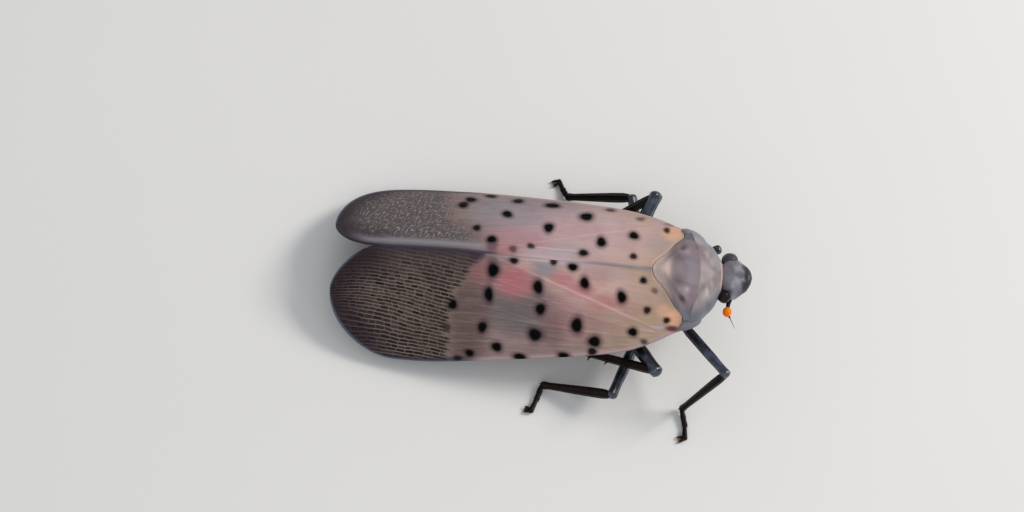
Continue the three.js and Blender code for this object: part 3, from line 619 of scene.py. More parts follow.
def spot_masks(x, w, spots, seed):
    """The dark cores of the spots and their soft borders, each a little out of round."""
    cores, halos = np.zeros_like(w), np.zeros_like(w)
    wobbles = speckle((len(spots), 2), seed) * 2 * math.pi
    for (sx, sw, long, wide, strength), (first, second) in zip(spots, wobbles):
        along_spot, across_spot = (x - sx) / (long / 2), (w - sw) / (wide / 2)
        turn = np.arctan2(across_spot, along_spot)
        wobble = 1 + 0.06 * np.sin(2 * turn + first) + 0.05 * np.sin(3 * turn + second)
        r = np.hypot(along_spot, across_spot) * wobble
        cores = np.maximum(cores, strength * (1 - smooth(0.62, 1.14, r)))
        halos = np.maximum(halos, strength * (1 - smooth(0.8, 1.9, r)))
    return cores, halos


def main_veins(x, w, veins, w_out):
    """The raised veins that run from the wing's base, some of them forked."""
    fade_in = smooth(-0.6, -2.0, x)
    raised = np.zeros_like(w)
    for share, centre in veins.items():
        strength = fade_in * (smooth(-19.5, -16, x) if share else smooth(-12.0, -10.8, x))
        raised = np.maximum(raised, strength * hump(w - centre[:, None], 0.075))
        if share in VEIN_FORKS:
            fork_x, spread = VEIN_FORKS[share]
            opening = smooth(fork_x, fork_x - 5, x) * spread * w_out[:, None]
            forked = 0.7 * strength * smooth(fork_x, fork_x - 0.6, x)
            for way in (-1, 1):
                raised = np.maximum(raised, forked * hump(w - centre[:, None] - way * opening, 0.06))
    return raised


def sheet(upper, lower, masks, side):
    """A closed sheet between two grids of points, with the same masks on both faces."""
    for skin in (upper, lower):
        skin[..., 1] *= side
    rows, columns, _ = upper.shape
    count = rows * columns
    faces = [tuple(q) for q in grid_faces(rows, columns, flip=side > 0)]
    faces += [tuple(q) for q in grid_faces(rows, columns, flip=side < 0, start=count)]
    ring = [(0, j) for j in range(columns - 1)] + [(i, columns - 1) for i in range(rows - 1)]
    ring += [(rows - 1, j) for j in range(columns - 1, 0, -1)] + [(i, 0) for i in range(rows - 1, 0, -1)]
    ids = [i * columns + j for i, j in ring]
    for a, b in zip(ids, ids[1:] + ids[:1]):
        faces.append((a, b, b + count, a + count) if side < 0 else (a, a + count, b + count, b))
    points = np.concatenate([upper.reshape(-1, 3), lower.reshape(-1, 3)])
    shape = Shape()
    shape.add(points, faces, **{name: np.tile(value.ravel(), 2) for name, value in masks.items()})
    return shape


def forewing_marks(side_name, place, w, from_in, from_out, zone):
    """Masks of a forewing's marks. The left wing lies over the right one, so its margins show more. Some masks
    are painted light: a sheen over the left tip, a highlight and a shadow along its inner margin, and a
    highlight along the tips' edges.
    """
    over = SIDES[side_name] > 0
    rim = np.minimum(from_in, from_out)
    tail = smooth(-11.5, -13.5, place)
    cores, halos = spot_masks(place, w, SPOTS[side_name], 5)
    dark_rim = (0.7 if over else 0.95) * (1 - smooth(0.4, 2.2 if over else 2.8, rim))
    dark_rim = dark_rim * smooth(-16.3, -19.0, place)
    # Painted highlight: a fine bluish line along the edges of the tips.
    outer_line = 1 - smooth(*((0.14, 0.26) if over else (0.08, 0.2)), from_out)
    inner_line = (1 - smooth(0.08, 0.2, from_in)) * smooth(-19, -20, place) * (not over)
    flecks = zone * smooth(-20.5, -19.0, place) * smooth(0.2, 1.0, from_out) * smooth(0.5, 0.8, from_in)
    # Painted highlight: a pale band along the left wing's rounded inner margin, where it lies over the right
    # wing.
    lap_highlight = hump(from_in - 0.43, 0.25) * smooth(-11.0, -12.4, place) * smooth(-20.4, -18.6, place)
    ridge = hump(w, 0.12) * smooth(-10.6, -9.4, place) * smooth(-4.9, -6.2, place)
    cream_end = smooth(SHIELD_POINT - 0.14, SHIELD_POINT + 0.02, place)
    marks = {
        "along": place,
        "across": w,
        "tip": zone,
        "spots": cores,
        "halos": halos,
        "rim": np.maximum((1 - smooth(0.1, 0.5, from_out)) * tail, dark_rim),
        "edge": np.maximum(outer_line, inner_line) * tail,
        "costa": (1 - smooth(0.1, 0.4, from_out)) * (1 - tail),
        # Painted reflection: a pale sheen over the left wing's tip, hardly any on the right.
        "painted_tip_sheen": zone * (1.0 if over else 0.06),
        "flecks": flecks * over,
        "lap_highlight": lap_highlight * over,
        # Painted shadow: dark along the left wing's inner edge, as under its overhang.
        "lip": (1 - smooth(0.05, 0.17, from_in)) * smooth(-10.8, -12.0, place) * over,
        "ridge": np.maximum(ridge, patches(place, w, PALE_LINES[side_name])),
        "gutter": hump(w, 0.14 if over else 0.2) * smooth(-7.2, -4.6, place),
        "cream": hump(from_in - 0.13, 0.09) * cream_end,
    }
    for name, places in WING_PATCHES.items():
        marks[name] = patches(place, w, places[side_name])
    return marks


def forewing(side_name, given):
    """One forewing, with its veins, net, ribs and rims in relief."""
    side = SIDES[side_name]
    x, t, w, veins, w_in, w_out = wing_grid(WING_STEP, given.wing_columns)
    place = x[:, None] + 0 * t
    top = roof(place, t)
    normal = normals_facing(top, (0, 0, 1))
    from_in, from_out = edge_distance(x, w, w_in, w_out)
    rim = np.minimum(from_in, from_out)
    cells, zone, lines = net_of_veins(place, w, 11 + side, 0.3 if side < 0 else 1.5)
    raised = main_veins(place, w, veins, w_out)
    ribs = np.sin(2 * math.pi * (w - 0.1 * place) / RIB_PITCH) * (1 - zone) * smooth(0.1, 0.4, rim)

    net = (0.02 * lines - 0.012 * cells) * smooth(0.08, 0.3, rim)
    height = 0.03 * raised + net + 0.03 * hump(rim - 0.08, 0.07) + 0.0035 * ribs
    round_off = 0.08 * (1 - smooth(0, 0.12, rim))
    if side > 0:
        held = smooth(-1.7, -3, place) * smooth(-18.6, -17.4, place)
        height = height + 0.055 * smooth(0.6, 0, w) * held
        top[..., 1] -= 0.14 * smooth(0.5, 0, w) * held
    upper = top + normal * (height - round_off)[..., None]
    lower = top - normal * (given.wing_skin / MM - 0.6 * height - round_off)[..., None]

    masks = forewing_marks(side_name, place, w, from_in, from_out, zone)
    seam = hump(w - veins[0.0][:, None], 0.11) * smooth(-2.1, -3.3, place) * smooth(-9.4, -8.0, place)
    masks.update(cells=cells, veins=raised, seam=seam * (1 if side < 0 else 0.25))
    return sheet(upper, lower, masks, side)


# Hind wings

HINDWING_BASE, HINDWING_BASE_END, HINDWING_ROUND_START, HINDWING_LENGTH = 2.3, 4.2, 12.5, 17.2
HINDWING_TIP_T, HINDWING_DROP, HINDWING_PLEATS = 0.42, 0.62, 11
HIND_SPOTS = [
    (-4.2, 2.6, 0.55, 0.5, 1), (-5.6, 1.5, 0.5, 0.5, 1), (-6.0, 3.5, 0.55, 0.5, 1), (-7.4, 2.5, 0.6, 0.5, 1),
    (-8.2, 1.2, 0.5, 0.45, 1), (-8.6, 3.9, 0.5, 0.5, 1), (-9.8, 2.7, 0.5, 0.45, 1),
]


def hindwing(side_name, given):
    """One pleated hind wing, folded away under its forewing."""
    side = SIDES[side_name]
    turns = np.linspace(0, math.pi / 2, 70)
    round_tip = -HINDWING_ROUND_START - (HINDWING_LENGTH - 0.03 - HINDWING_ROUND_START) * np.sin(turns)
    x = np.concatenate([np.arange(-HINDWING_BASE, -HINDWING_ROUND_START, -0.08), round_tip])[:, None]
    tip = np.clip((-x - HINDWING_ROUND_START) / (HINDWING_LENGTH - HINDWING_ROUND_START), 0, 1)
    base = np.clip((HINDWING_BASE_END + x) / (HINDWING_BASE_END - HINDWING_BASE), 0, 1)
    closing = np.sqrt(1 - tip**2)
    inner, outer = 0.075 + 0.27 * base**2, 0.82 - 0.2 * base
    first = HINDWING_TIP_T + (inner - HINDWING_TIP_T) * closing
    last = HINDWING_TIP_T + (outer - HINDWING_TIP_T) * closing
    share = np.linspace(0, 1, 90)[None, :]
    t = first + (last - first) * share
    place = x + 0 * t
    top = roof(place, t)
    normal = normals_facing(top, (0, 0, 1))
    pleats = np.abs(((share * HINDWING_PLEATS) % 1) * 2 - 1) * closing
    drop = HINDWING_DROP + 0.1 * pleats
    upper = top - normal * drop[..., None]
    lower = top - normal * (drop + given.hindwing_skin / MM)[..., None]
    w = top[..., 1] * 1.15
    edge = -11.0 - 0.35 * w
    band_end = edge - 1.8 + 0.5 * w
    masks = {
        "spots": spot_masks(place, w, HIND_SPOTS, 8)[0],
        "red": smooth(edge - 0.1, edge + 0.1, place),
        "white": smooth(edge + 0.1, edge - 0.1, place) * smooth(band_end - 0.1, band_end + 0.1, place),
        "folds": pleats,
    }
    return sheet(upper, lower, masks, side)


# Trunk

def body_rings(x, width, top, wide, bottom, power, sides):
    """Cross-sections of a body, turn 0 on its left and a quarter turn at its top."""
    turn = np.linspace(0, 2 * math.pi, sides, endpoint=False)[None, :]
    c, s = np.cos(turn), np.sin(turn)
    y = np.sign(c) * np.abs(c) ** (2 / power) * width
    rise = np.abs(s) ** (2 / power)
    z = np.where(s > 0, wide + rise * (top - wide), wide - rise * (wide - bottom))
    return np.stack([x + 0 * turn, y, z], -1)


def trunk_rings(x, sides):
    """Rings of the trunk at places x, which may differ round each ring."""
    sizes_at = [along(table, x) for table in (TRUNK_WIDTH, TRUNK_TOP, TRUNK_WIDE, TRUNK_BOTTOM)]
    return body_rings(x, *sizes_at, TRUNK_POWER, sides)


def below_wings(points, clear):
    """Points pushed down, clear of a folded forewing, where it lies over them."""
    x, y = points[..., 0], np.abs(points[..., 1])
    limit = roof(x, across(x, y))[..., 2] - clear
    covered = np.maximum(smooth(-0.02, 0.1, y - inner_edge(x)), smooth(SHIELD_POINT, SHIELD_POINT - 0.08, x))
    covered = covered * smooth(WING_START + 0.1, WING_START - 0.02, x)
    lowered = points.copy()
    lowered[..., 2] -= covered * np.maximum(0, points[..., 2] - limit)
    return lowered


def down_to_wings(points):
    """Points of the shield between the wings, sloped down so that they meet the wings' margins."""
    x, y = points[..., 0], np.abs(points[..., 1])
    gap = y - inner_edge(x)
    wing_x = np.minimum(x, RIDGE_HEIGHT[0][0])
    wing_top = roof(wing_x, across(wing_x, y))[..., 2] + 0.02
    proud = np.maximum(0, points[..., 2] - wing_top) * (1 - smooth(-0.85, -0.05, gap))
    beside = np.maximum(smooth(0.1, -0.02, gap), smooth(0.0, 0.12, x))
    share = smooth(0.9, 0.05, x) * beside * smooth(3.0, 3.3, points[..., 2])
    met = points.copy()
    met[..., 2] += share * (wing_top + proud - points[..., 2])
    return met


def collar_x(y, z):
    return COLLAR_X - COLLAR_CURVE * y**2 + COLLAR_LEAN * (COLLAR_TOP - z)


def collar_ring(sides, ahead):
    """The collar's x at each point of a ring round the trunk, moved ahead but kept short of the neck."""
    place = np.full((1, sides), 0.9)
    for _ in range(8):
        at = trunk_rings(place, sides)
        place = np.minimum(collar_x(at[..., 1], at[..., 2]) + ahead, COLLAR_LIMIT + 0.7 * ahead)
    return place


SADDLE_BUMPS = both_sides([
    ((1.85, 0.55, 4.4), (0.22, 0.4, 0.5), -0.06), ((1.3, 1.6, 4.2), (0.35, 0.45, 0.6), 0.045),
    ((1.45, 2.15, 3.9), (0.2, 0.4, 0.5), -0.05), ((0.95, 2.5, 3.9), (0.3, 0.3, 0.4), 0.05),
    ((1.55, 1.1, 4.4), (0.15, 0.35, 0.5), -0.03), ((0.78, 0.78, 4.5), (0.16, 0.2, 0.4), 0.045),
])


def pronotum():
    """The saddle behind the head, with its raised rims, its middle keel and its hollows."""
    sides = 240
    s = np.linspace(0, 1, 70)[:, None]
    x = TRUNK_FRONT + (collar_ring(sides, 0.02) - TRUNK_FRONT) * (1 - (1 - s) ** 1.6)
    rings = trunk_rings(x, sides)
    normal = outward_normals(rings)
    y, z = rings[..., 1], rings[..., 2]
    upper = smooth(3.3, 3.9, z)
    front = hump(s - 0.05, 0.03) * upper
    keel = hump(y, 0.09) * upper * smooth(0.1, 0.3, s)
    lift = 0.05 * front + 0.015 * keel + 0.008 - 0.02 * smooth(0.88, 1.0, s)
    rings = swollen(rings + normal * lift[..., None], normal, SADDLE_BUMPS)
    lip = rings[-1:] - normal[-1:] * 0.07 + np.array([0.02, 0, 0])
    rings = np.concatenate([rings, lip])

    def with_lip(values, at_lip):
        return np.concatenate([values + 0 * z, np.full((1, sides), at_lip)])

    y, beside = rings[..., 1], np.abs(rings[..., 1])
    furrow = 0.4 * hump(beside - 2.1 + 1.35 * (rings[..., 0] - 0.45), 0.3)
    furrow = furrow * smooth(0.05, 0.4, beside) * smooth(2.2, 1.8, beside)
    hind = with_lip(hump(s - 0.98, 0.03), 1) * (0.05 + 0.5 * smooth(-0.5, 0.6, y)) * smooth(2.5, 2.0, beside)
    flank = with_lip(smooth(4.38, 4.0, z), 1)
    # The right flank is darkened as painted shade.
    dark = np.maximum(np.maximum(furrow, hind), 0.4 * flank * smooth(-0.4, -1.6, y))
    return skinned(rings, {"pale": with_lip(front, 0), "dark": dark, "flank": flank})


THORAX_BUMPS = both_sides([
    ((0.3, 1.55, 4.4), (0.4, 0.4, 0.6), -0.07), ((-1.3, 0, 4.7), (0.35, 0.25, 0.5), 0.03),
    ((-0.75, 0.3, 4.7), (0.2, 0.5, 0.5), -0.05), ((0.1, 0.55, 4.7), (0.55, 0.3, 0.5), 0.05),
    ((0.0, 2.2, 4.2), (0.4, 0.35, 0.6), 0.06), ((-0.35, 1.25, 4.5), (0.3, 0.3, 0.5), 0.04),
])
SHOULDER_SCALE = [(1.2, 2.5, 3.42), (0.75, 2.8, 3.44), (0.35, 3.04, 3.4), (-0.08, 3.3, 3.3)]


def thorax():
    """The two hind rings of the thorax: the shield between the wing bases, and what the wings cover."""
    sides = 260
    start = collar_ring(sides, 0.22)
    s = np.linspace(0, 1, 118)[:, None]
    covered = np.linspace(THORAX_SHOWN_END - 0.08, TRUNK_BACK, 18)[:, None]
    x = np.concatenate([start + (THORAX_SHOWN_END - start) * s, covered + 0 * start])
    rings = trunk_rings(x, sides)
    normal = outward_normals(rings)
    y, z = rings[..., 1], rings[..., 2]
    upper = smooth(3.4, 4.1, z)
    keel = hump(y, 0.08) * smooth(-1.5, -0.9, x)
    side_keels = hump(np.abs(y) - 0.62 - 0.28 * (x + 0.5), 0.09) * smooth(-1.4, -0.7, x)
    under_collar = smooth(0.02, 0.14, x - np.minimum(collar_x(y, z), COLLAR_LIMIT - 0.02))
    folds = hump(x + 0.15 + 0.12 * y**2, 0.07) + hump(x + 2.05 + 0.12 * y**2, 0.07)
    folds = np.maximum(folds, 0.7 * hump(y, 0.06) * smooth(0.6, 0.2, x)) * smooth(2.7, 2.2, z)
    lift = (0.015 * keel + 0.02 * side_keels) * upper - 0.03 * under_collar - 0.06 * folds
    rings = swollen(rings + normal * lift[..., None], normal, THORAX_BUMPS)
    rings = below_wings(down_to_wings(rings), 0.24)
    x, y, z, near = rings[..., 0], np.abs(rings[..., 1]), rings[..., 2], rings[..., 1] < 0
    beyond = y - np.where(near, 1.78, 1.5)
    marks = np.exp(-((((x + beyond) / 0.42) ** 2 + ((x - beyond) / 0.22) ** 2) ** 1.3))
    clouds = 0.55 * hump(y - 0.8, 0.35) * hump(x + 0.35, 0.5)
    margin = hump(y - inner_edge(x) + 0.42, 0.16) * smooth(0.3, -0.1, x)
    light = np.where(near, 0.8, 0.3) * hump(y - 1.25, 0.22) * hump(x - 0.25, 0.18)
    tail = smooth(-0.35, -1.1, x)
    blue = np.maximum(smooth(4.2, 3.7, z), 0.45 * hump(x - 0.5, 0.3) * hump(y - 0.4, 0.5))
    shape = skinned(rings, {
        "pale": np.maximum(np.maximum(tail, 0.5 * margin), light) * upper,
        "dark": np.maximum(np.maximum(marks, clouds) * upper, 0.7 * folds),
        "flank": blue * smooth(-0.5, 0.1, x),
        "mauve": upper * (1 - 0.6 * tail),
    })
    for side in (1, -1):
        corners = np.array([mirrored(p, side) for p in SHOULDER_SCALE])
        s = np.linspace(0, 1, 60)
        path = np.stack([np.interp(s, np.linspace(0, 1, len(corners)), corners[:, k]) for k in range(3)], -1)
        high = 0.235 * np.sqrt(np.maximum(1 - np.abs(2 * s**0.8 - 1) ** 2.4, 0.0004))
        scale = tube(path, high, sides=48, up=mirrored((0.3, 0.5, 0.8), side), width=1.5)
        # The right scale is darker as painted shade.
        shape.add(*scale, flank=0.7, mauve=0.3, dark=0.1 if side > 0 else 0.42)
    return shape


# Head

FACE_ROUND, NAPE_ROUND = 1.1, 0.8
HEAD_BUMPS = both_sides([
    ((3.35, 0.36, 4.3), (0.3, 0.24, 0.4), 0.08), ((3.75, 0, 4.2), (0.13, 0.9, 0.3), -0.06),
    ((4.02, 0.35, 4.0), (0.25, 0.5, 0.35), 0.04), ((3.0, 1.05, 3.52), (0.34, 0.3, 0.42), 0.21),
    ((3.8, 0.85, 4.15), (0.3, 0.3, 0.4), -0.03), ((3.55, 0.72, 4.1), (0.12, 0.3, 0.4), -0.05),
    ((2.9, 0, 4.35), (0.3, 0.3, 0.4), -0.06), ((2.85, 0.75, 4.15), (0.25, 0.2, 0.4), 0.1),
    ((3.1, 0.7, 4.2), (0.14, 0.12, 0.3), -0.06), ((3.75, 0.7, 3.0), (0.5, 0.12, 0.9), 0.05),
    ((3.7, 0, 2.9), (0.5, 0.4, 0.7), 0.06),
])
# Pale patches on top of the head, which also stand for its highlights there; the pair on the cheeks before the
# eyes are painted highlights.
HEAD_PALE_AND_HIGHLIGHTS = both_sides([
    ((3.22, 0.4, 4.35), (0.2, 0.2, 0.4), 0.95), ((3.03, 1.16, 3.64), (0.22, 0.25, 0.3), 1.0),
    ((2.75, 0.3, 4.3), (0.3, 0.6, 0.4), 0.15),
])


def head():
    """The head shell, with the keel and the dents of its face, its cheeks and its two simple eyes."""
    levels, *profiles = np.array(HEAD_LEVELS).T
    z = np.linspace(levels[0], levels[-1], 90)[:, None]
    front, back, half = (along(list(zip(levels, values)), z) for values in profiles)
    turn = np.linspace(0, 2 * math.pi, 180, endpoint=False)[None, :]
    c, s = np.cos(turn), np.sin(turn)
    power = np.where(c > 0, FACE_ROUND, NAPE_ROUND)
    x = (front + back) / 2 + np.sign(c) * np.abs(c) ** power * (front - back) / 2
    y = np.sign(s) * np.abs(s) ** power * half
    rings = np.stack([x, y, z + 0 * x], -1)
    normal = outward_normals(rings)
    rings = swollen(rings, normal, HEAD_BUMPS)
    keel = hump(rings[..., 1], 0.07) * smooth(3.4, 3.8, rings[..., 0]) * smooth(4.1, 3.7, rings[..., 2])
    rings = rings + normal * (0.03 * keel)[..., None]
    groove = hump(rings[..., 2] - 2.35, 0.06)
    rings = rings - normal * (0.04 * groove)[..., None]
    x, y, z = rings[..., 0], np.abs(rings[..., 1]), rings[..., 2]
    brow, cheek = smooth(3.4, 3.7, x) * smooth(3.2, 3.7, z), smooth(0.85, 1.1, y) * smooth(3.1, 2.8, x)
    shape = skinned(rings, {
        "pale": np.max([strength * nearness(rings, *place) for *place, strength in HEAD_PALE_AND_HIGHLIGHTS], axis=0),
        "dark": np.maximum(brow, cheek),
        "nape": smooth(3.05, 2.6, x) * smooth(3.6, 4.0, z),
    }, first=0.2)
    for side in (1, -1):
        shape.add(*egg(mirrored((3.05, 1.13, 3.36), side), (0.07, 0.07, 0.07), 20, 14), BEAD)
    return shape


def eye(side):
    """A bulging compound eye."""
    place, radii = EYE_AT[side]
    shape = Shape()
    # bloom on the left eye is a painted highlight: the head's grey laid over it.
    shape.add(*egg(mirrored(place, side), radii, 96, 64), bloom=0.5 if side > 0 else 0.0)
    return shape


def antenna(side):
    """A short stalk, a swollen second joint set with pits, and a hair-thin whip on a small knob."""
    bulb = mirrored(BULB_AT[side], side)
    way = unit(mirrored(WHIP_TO[side], side) - bulb)
    knob = bulb + way * 0.33
    root = mirrored((2.9, 0.85, 3.02), side)
    stalk = limb(root, bulb, [(0, 0.2), (0.2, 0.2), (0.5, 0.13), (1, 0.1)], steps=24)
    whip = limb(knob, bulb + way * 1.12, [(0, 0.028), (0.4, 0.018), (1, 0.008)], steps=20, sides=10)
    shape = Shape()
    shape.add(*stalk, STALK)
    shape.add(*egg(bulb, (0.27, 0.31, 0.27), 64, 48), BULB, pits=1.0)
    shape.add(*egg(knob, (0.07, 0.07, 0.07), 20, 14), STALK)
    shape.add(*whip, STALK)
    return shape


def beak():
    """The jointed sucking beak, laid back between the legs."""
    corners = np.array(BEAK_PATH)
    reach = np.concatenate([[0], np.cumsum(np.linalg.norm(np.diff(corners, axis=0), axis=1))])
    s = np.linspace(0, 1, 120)
    path = np.stack([np.interp(s * reach[-1], reach, corners[:, k]) for k in range(3)], -1)
    padded = np.pad(path, ((4, 4), (0, 0)), mode="edge")
    path = np.stack([np.convolve(padded[:, k], np.ones(9) / 9, "valid") for k in range(3)], -1)
    shares, radii = np.array(BEAK_PROFILE).T
    shape = Shape()
    shape.add(*tube(path, np.interp(s, shares, radii), sides=28, ridges=2, ridge_depth=0.06))
    return shape


# Abdomen

def abdomen():
    """Seven rings, each lapping over the next, banded black on yellow."""
    sides = 160
    s = np.linspace(0, 1, 240)[:, None]
    x = ABDOMEN_FRONT + (ABDOMEN_BACK - ABDOMEN_FRONT) * s
    shares = (x - ABDOMEN_RINGS_START) / (ABDOMEN_BACK - ABDOMEN_RINGS_START)
    phase = np.clip(shares, 0, 0.9999) * ABDOMEN_RINGS % 1
    flare = 0.1 * phase - 0.06
    drawn = 0.2 + 0.8 * smooth(1.0, 0.95, s)
    width, top, low = along(ABDOMEN_WIDTH, x), along(ABDOMEN_TOP, x), along(ABDOMEN_BOTTOM, x)
    middle = low + 0.45 * (top - low)
    high = middle + (top + flare - middle) * drawn
    deep = middle - (middle - low + flare) * drawn
    rings = body_rings(x, (width + flare) * drawn, high, middle, deep, 2.2, sides)
    turn = np.linspace(0, 2 * math.pi, sides, endpoint=False)[None, :]
    rings[..., 1] *= 1 - 0.07 * hump(np.abs(np.cos(turn)) - 1, 0.03)
    rings = below_wings(rings, 0.95)
    band = smooth(0.18, 0.3, phase) * smooth(0.86, 0.74, phase)
    return skinned(rings, {
        "bands": band * np.maximum(smooth(0.25, 0.5, np.sin(turn)), 0.75 * smooth(0.3, 0.6, -np.sin(turn))),
        "wax": smooth(0.9, 0.98, s) + 0 * turn,
        "seams": hump(phase - 0.02, 0.05) + 0 * turn,
    })


# Legs

def add_thigh(shape, root, trochanter, knee, thigh, knob):
    """The hip and the ridged thigh, up to its round knee."""
    long = np.linalg.norm(trochanter - root)
    hip = end_cap(0.4, long, False) + [(0.5, 0.42)] + end_cap(0.3, long, True)
    shape.add(*limb(root, trochanter, hip), SHELL)
    long = np.linalg.norm(knee - trochanter)
    profile = end_cap(0.2, long, False)
    profile += [(0.05, 0.21), (0.08, 0.18), (0.12, 0.25), (0.22, thigh), (0.7, thigh)]
    profile += [(1 - 0.9 / long, thigh * 0.92), (1 - 0.45 / long, knob * 0.93)]
    profile += end_cap(knob, long, True, 0.75)
    shape.add(*limb(trochanter, knee, profile, steps=60, sides=48, ridges=8, ridge_depth=0.1), SHELL)


def add_shin(shape, knee, ankle, top, end, hind):
    """The ridged shin, the comb of spines at its end and, on a hind leg, its thorns."""
    long = np.linalg.norm(ankle - knee)
    profile = [(0.01, 0.15), (0.16 / long, 0.2), (0.34 / long, top * 0.9), (0.6 / long, top)]
    profile += [(1.2 / long, top), (0.6, (top + end) / 2), (1 - 0.45 / long, end)]
    profile += [(1 - 0.12 / long, end * 1.15)]
    profile += end_cap(end * 1.05, long, True, 0.6)
    shape.add(*limb(knee, ankle, profile, steps=70, sides=48, ridges=6, ridge_depth=0.22), SHIN)
    down = unit(ankle - knee)
    out = unit(np.cross(np.cross(down, (0, np.sign(knee[1]), 0)), down))
    for share in THORN_SHARES if hind else ():
        place = knee + (ankle - knee) * share
        tip = place + unit(out * 0.8 + 0.5 * down - np.array([0, 0, 0.5])) * 0.6
        shape.add(*spike(place + out * 0.08, tip, 0.1, sides=14, hook=0.03, hook_to=down, steps=12), SHIN)
    comb = 6 if hind else 4
    for i in range(comb):
        turn = math.pi * (i / (comb - 1) - 0.5)
        way = math.cos(turn) * np.array([0, 0, -1.0]) + math.sin(turn) * np.cross(down, out)
        start = ankle - down * 0.06 + way * end * 0.7
        shape.add(*spike(start, start + unit(down * 1.1 + way * 0.45) * 0.24, 0.05, sides=8), SHIN)


def add_foot(shape, ankle, toes, claws_at):
    """Three joints, the first two with a pair of spines, then two claws and two pads."""
    joints = [ankle, ankle + (toes[0] - ankle) * 0.55, *toes]
    for i, (a, b) in enumerate(zip(joints, joints[1:])):
        long = np.linalg.norm(b - a)
        wide = 0.18 if i < 2 else 0.165
        profile = end_cap(0.11, long, False) + [(0.2, 0.13), (0.75, wide * 0.95)]
        profile += end_cap(wide, long, True)[:4]
        profile += [(profile[-1][0] + 0.01, 0.06)]
        shape.add(*limb(a, b, profile, steps=26, sides=24), SHIN)
        if i < 2:
            forward = unit(b - a)
            sideways = np.cross(forward, (0, 0, 1))
            for way in (-1, 1):
                start = b + sideways * way * 0.1 - np.array([0, 0, 0.05])
                tip = start + unit(forward + sideways * way * 0.4 - (0, 0, 0.25)) * 0.2
                shape.add(*spike(start, tip, 0.05), SHIN)
    end = toes[-1]
    reach = unit([claws_at[0] - end[0], claws_at[1] - end[1], 0])
    beside = np.array([-reach[1], reach[0], 0])
    for way in (-1, 1):
        start = end + beside * way * 0.08 + reach * 0.05
        tip = on_floor(claws_at, 0.03) + beside * way * 0.2
        shape.add(*spike(start, tip, 0.085, sides=14, hook=0.14, hook_to=(0, 0, 1), steps=16), SHIN)
        pad = end + reach * 0.3 + beside * way * 0.07
        pad[2] = floor_at(pad[0]) + 0.1
        shape.add(*egg(pad, (0.14, 0.12, 0.09), 28, 18), PAD)


def leg(name):
    """One leg: hip, thigh, shin and foot."""
    root, trochanter, knee = (np.array(place) for place in LEGS[name][:3])
    ankle_at, *toes_at, claws_at = LEGS[name][3:]
    ankle = on_floor(ankle_at, ANKLE_RISE)
    pair = name.split("_")[0]
    thigh, knob, shin_top, shin_end = LEG_SIZES[pair]
    shape = Shape()
    add_thigh(shape, root, trochanter, knee, thigh, knob)
    add_shin(shape, knee, ankle, shin_top, shin_end, pair == "hind")
    add_foot(shape, ankle, [on_floor(place, SOLE_RISE) for place in toes_at], claws_at)
    return shape


# Node tools

def feed(tree, node, values):
    """Gives a node's inputs their numbers, colours or other nodes' sockets."""
    for key, value in values.items():
        if isinstance(value, bpy.types.NodeSocket):
            tree.links.new(value, node.inputs[key])
        else:
            node.inputs[key].default_value = value


def put(tree, kind, values=None, **settings):
    """Adds a node with its settings and inputs."""
    node = tree.nodes.new(kind)
    for key, value in settings.items():
        setattr(node, key, value)
    feed(tree, node, values or {})
    return node


def mask(tree, name):
    return put(tree, "ShaderNodeAttribute", attribute_name=name).outputs["Fac"]


def mixed(tree, share, below, above):
    """A colour between two, by a share."""
    def full(value):
        return value if isinstance(value, bpy.types.NodeSocket) else (*value, 1)
    return put(tree, "ShaderNodeMix", {0: share, 6: full(below), 7: full(above)}, data_type="RGBA").outputs[2]


def sums(tree, operation, first, second, clamp=False):
    return put(tree, "ShaderNodeMath", {0: first, 1: second}, operation=operation, use_clamp=clamp).outputs[0]


def ranged(tree, value, low, high, to_low=0.0, to_high=1.0):
    """A value from low to high, brought to the range from to_low to to_high."""
    inputs = {"Value": value, "From Min": low, "From Max": high, "To Min": to_low, "To Max": to_high}
    return put(tree, "ShaderNodeMapRange", inputs).outputs["Result"]


def adjusted(tree, tone, **values):
    return put(tree, "ShaderNodeHueSaturation", {"Color": tone, **values}).outputs[0]


def bump(tree, height, distance, strength=1.0, under=None):
    """A bump of a height map over a distance in mm, on top of the one under it."""
    values = {"Height": height, "Distance": distance * MM, "Strength": strength}
    if under is not None:
        values["Normal"] = under
    return put(tree, "ShaderNodeBump", values).outputs[0]


def tinted(tree, tone, layers):
    """A colour with further ones laid over it: (mask name, strength, colour) each."""
    for name, strength, over in layers:
        tone = mixed(tree, sums(tree, "MULTIPLY", mask(tree, name), strength, True), tone, over)
    return tone


# Effects shared by several finishes

def placed_group(tree, name, values, outputs, fill):
    """Places a shader group of numbers with its own values. The group is made at its first use."""
    made = bpy.data.node_groups.get(name)
    if made is None:
        made = bpy.data.node_groups.new(name, "ShaderNodeTree")
        for label in values:
            made.interface.new_socket(label, in_out="INPUT", socket_type="NodeSocketFloat")
        for label in outputs:
            made.interface.new_socket(label, in_out="OUTPUT", socket_type="NodeSocketFloat")
        enter = put(made, "NodeGroupInput")
        feed(made, put(made, "NodeGroupOutput"), fill(made, enter.outputs))
    node = put(tree, "ShaderNodeGroup", node_tree=made)
    feed(tree, node, values)
    return node.outputs


def fill_grain(tree, given):
    place = put(tree, "ShaderNodeTexCoord").outputs["Object"]
    coarse = put(tree, "ShaderNodeTexNoise", {"Vector": place, "Scale": given["Coarse"], "Detail": 4})
    fine = put(tree, "ShaderNodeTexNoise", {"Vector": place, "Scale": given["Fine"], "Detail": 3})
    return {"Clouds": coarse.outputs["Fac"], "Grain": fine.outputs["Fac"]}


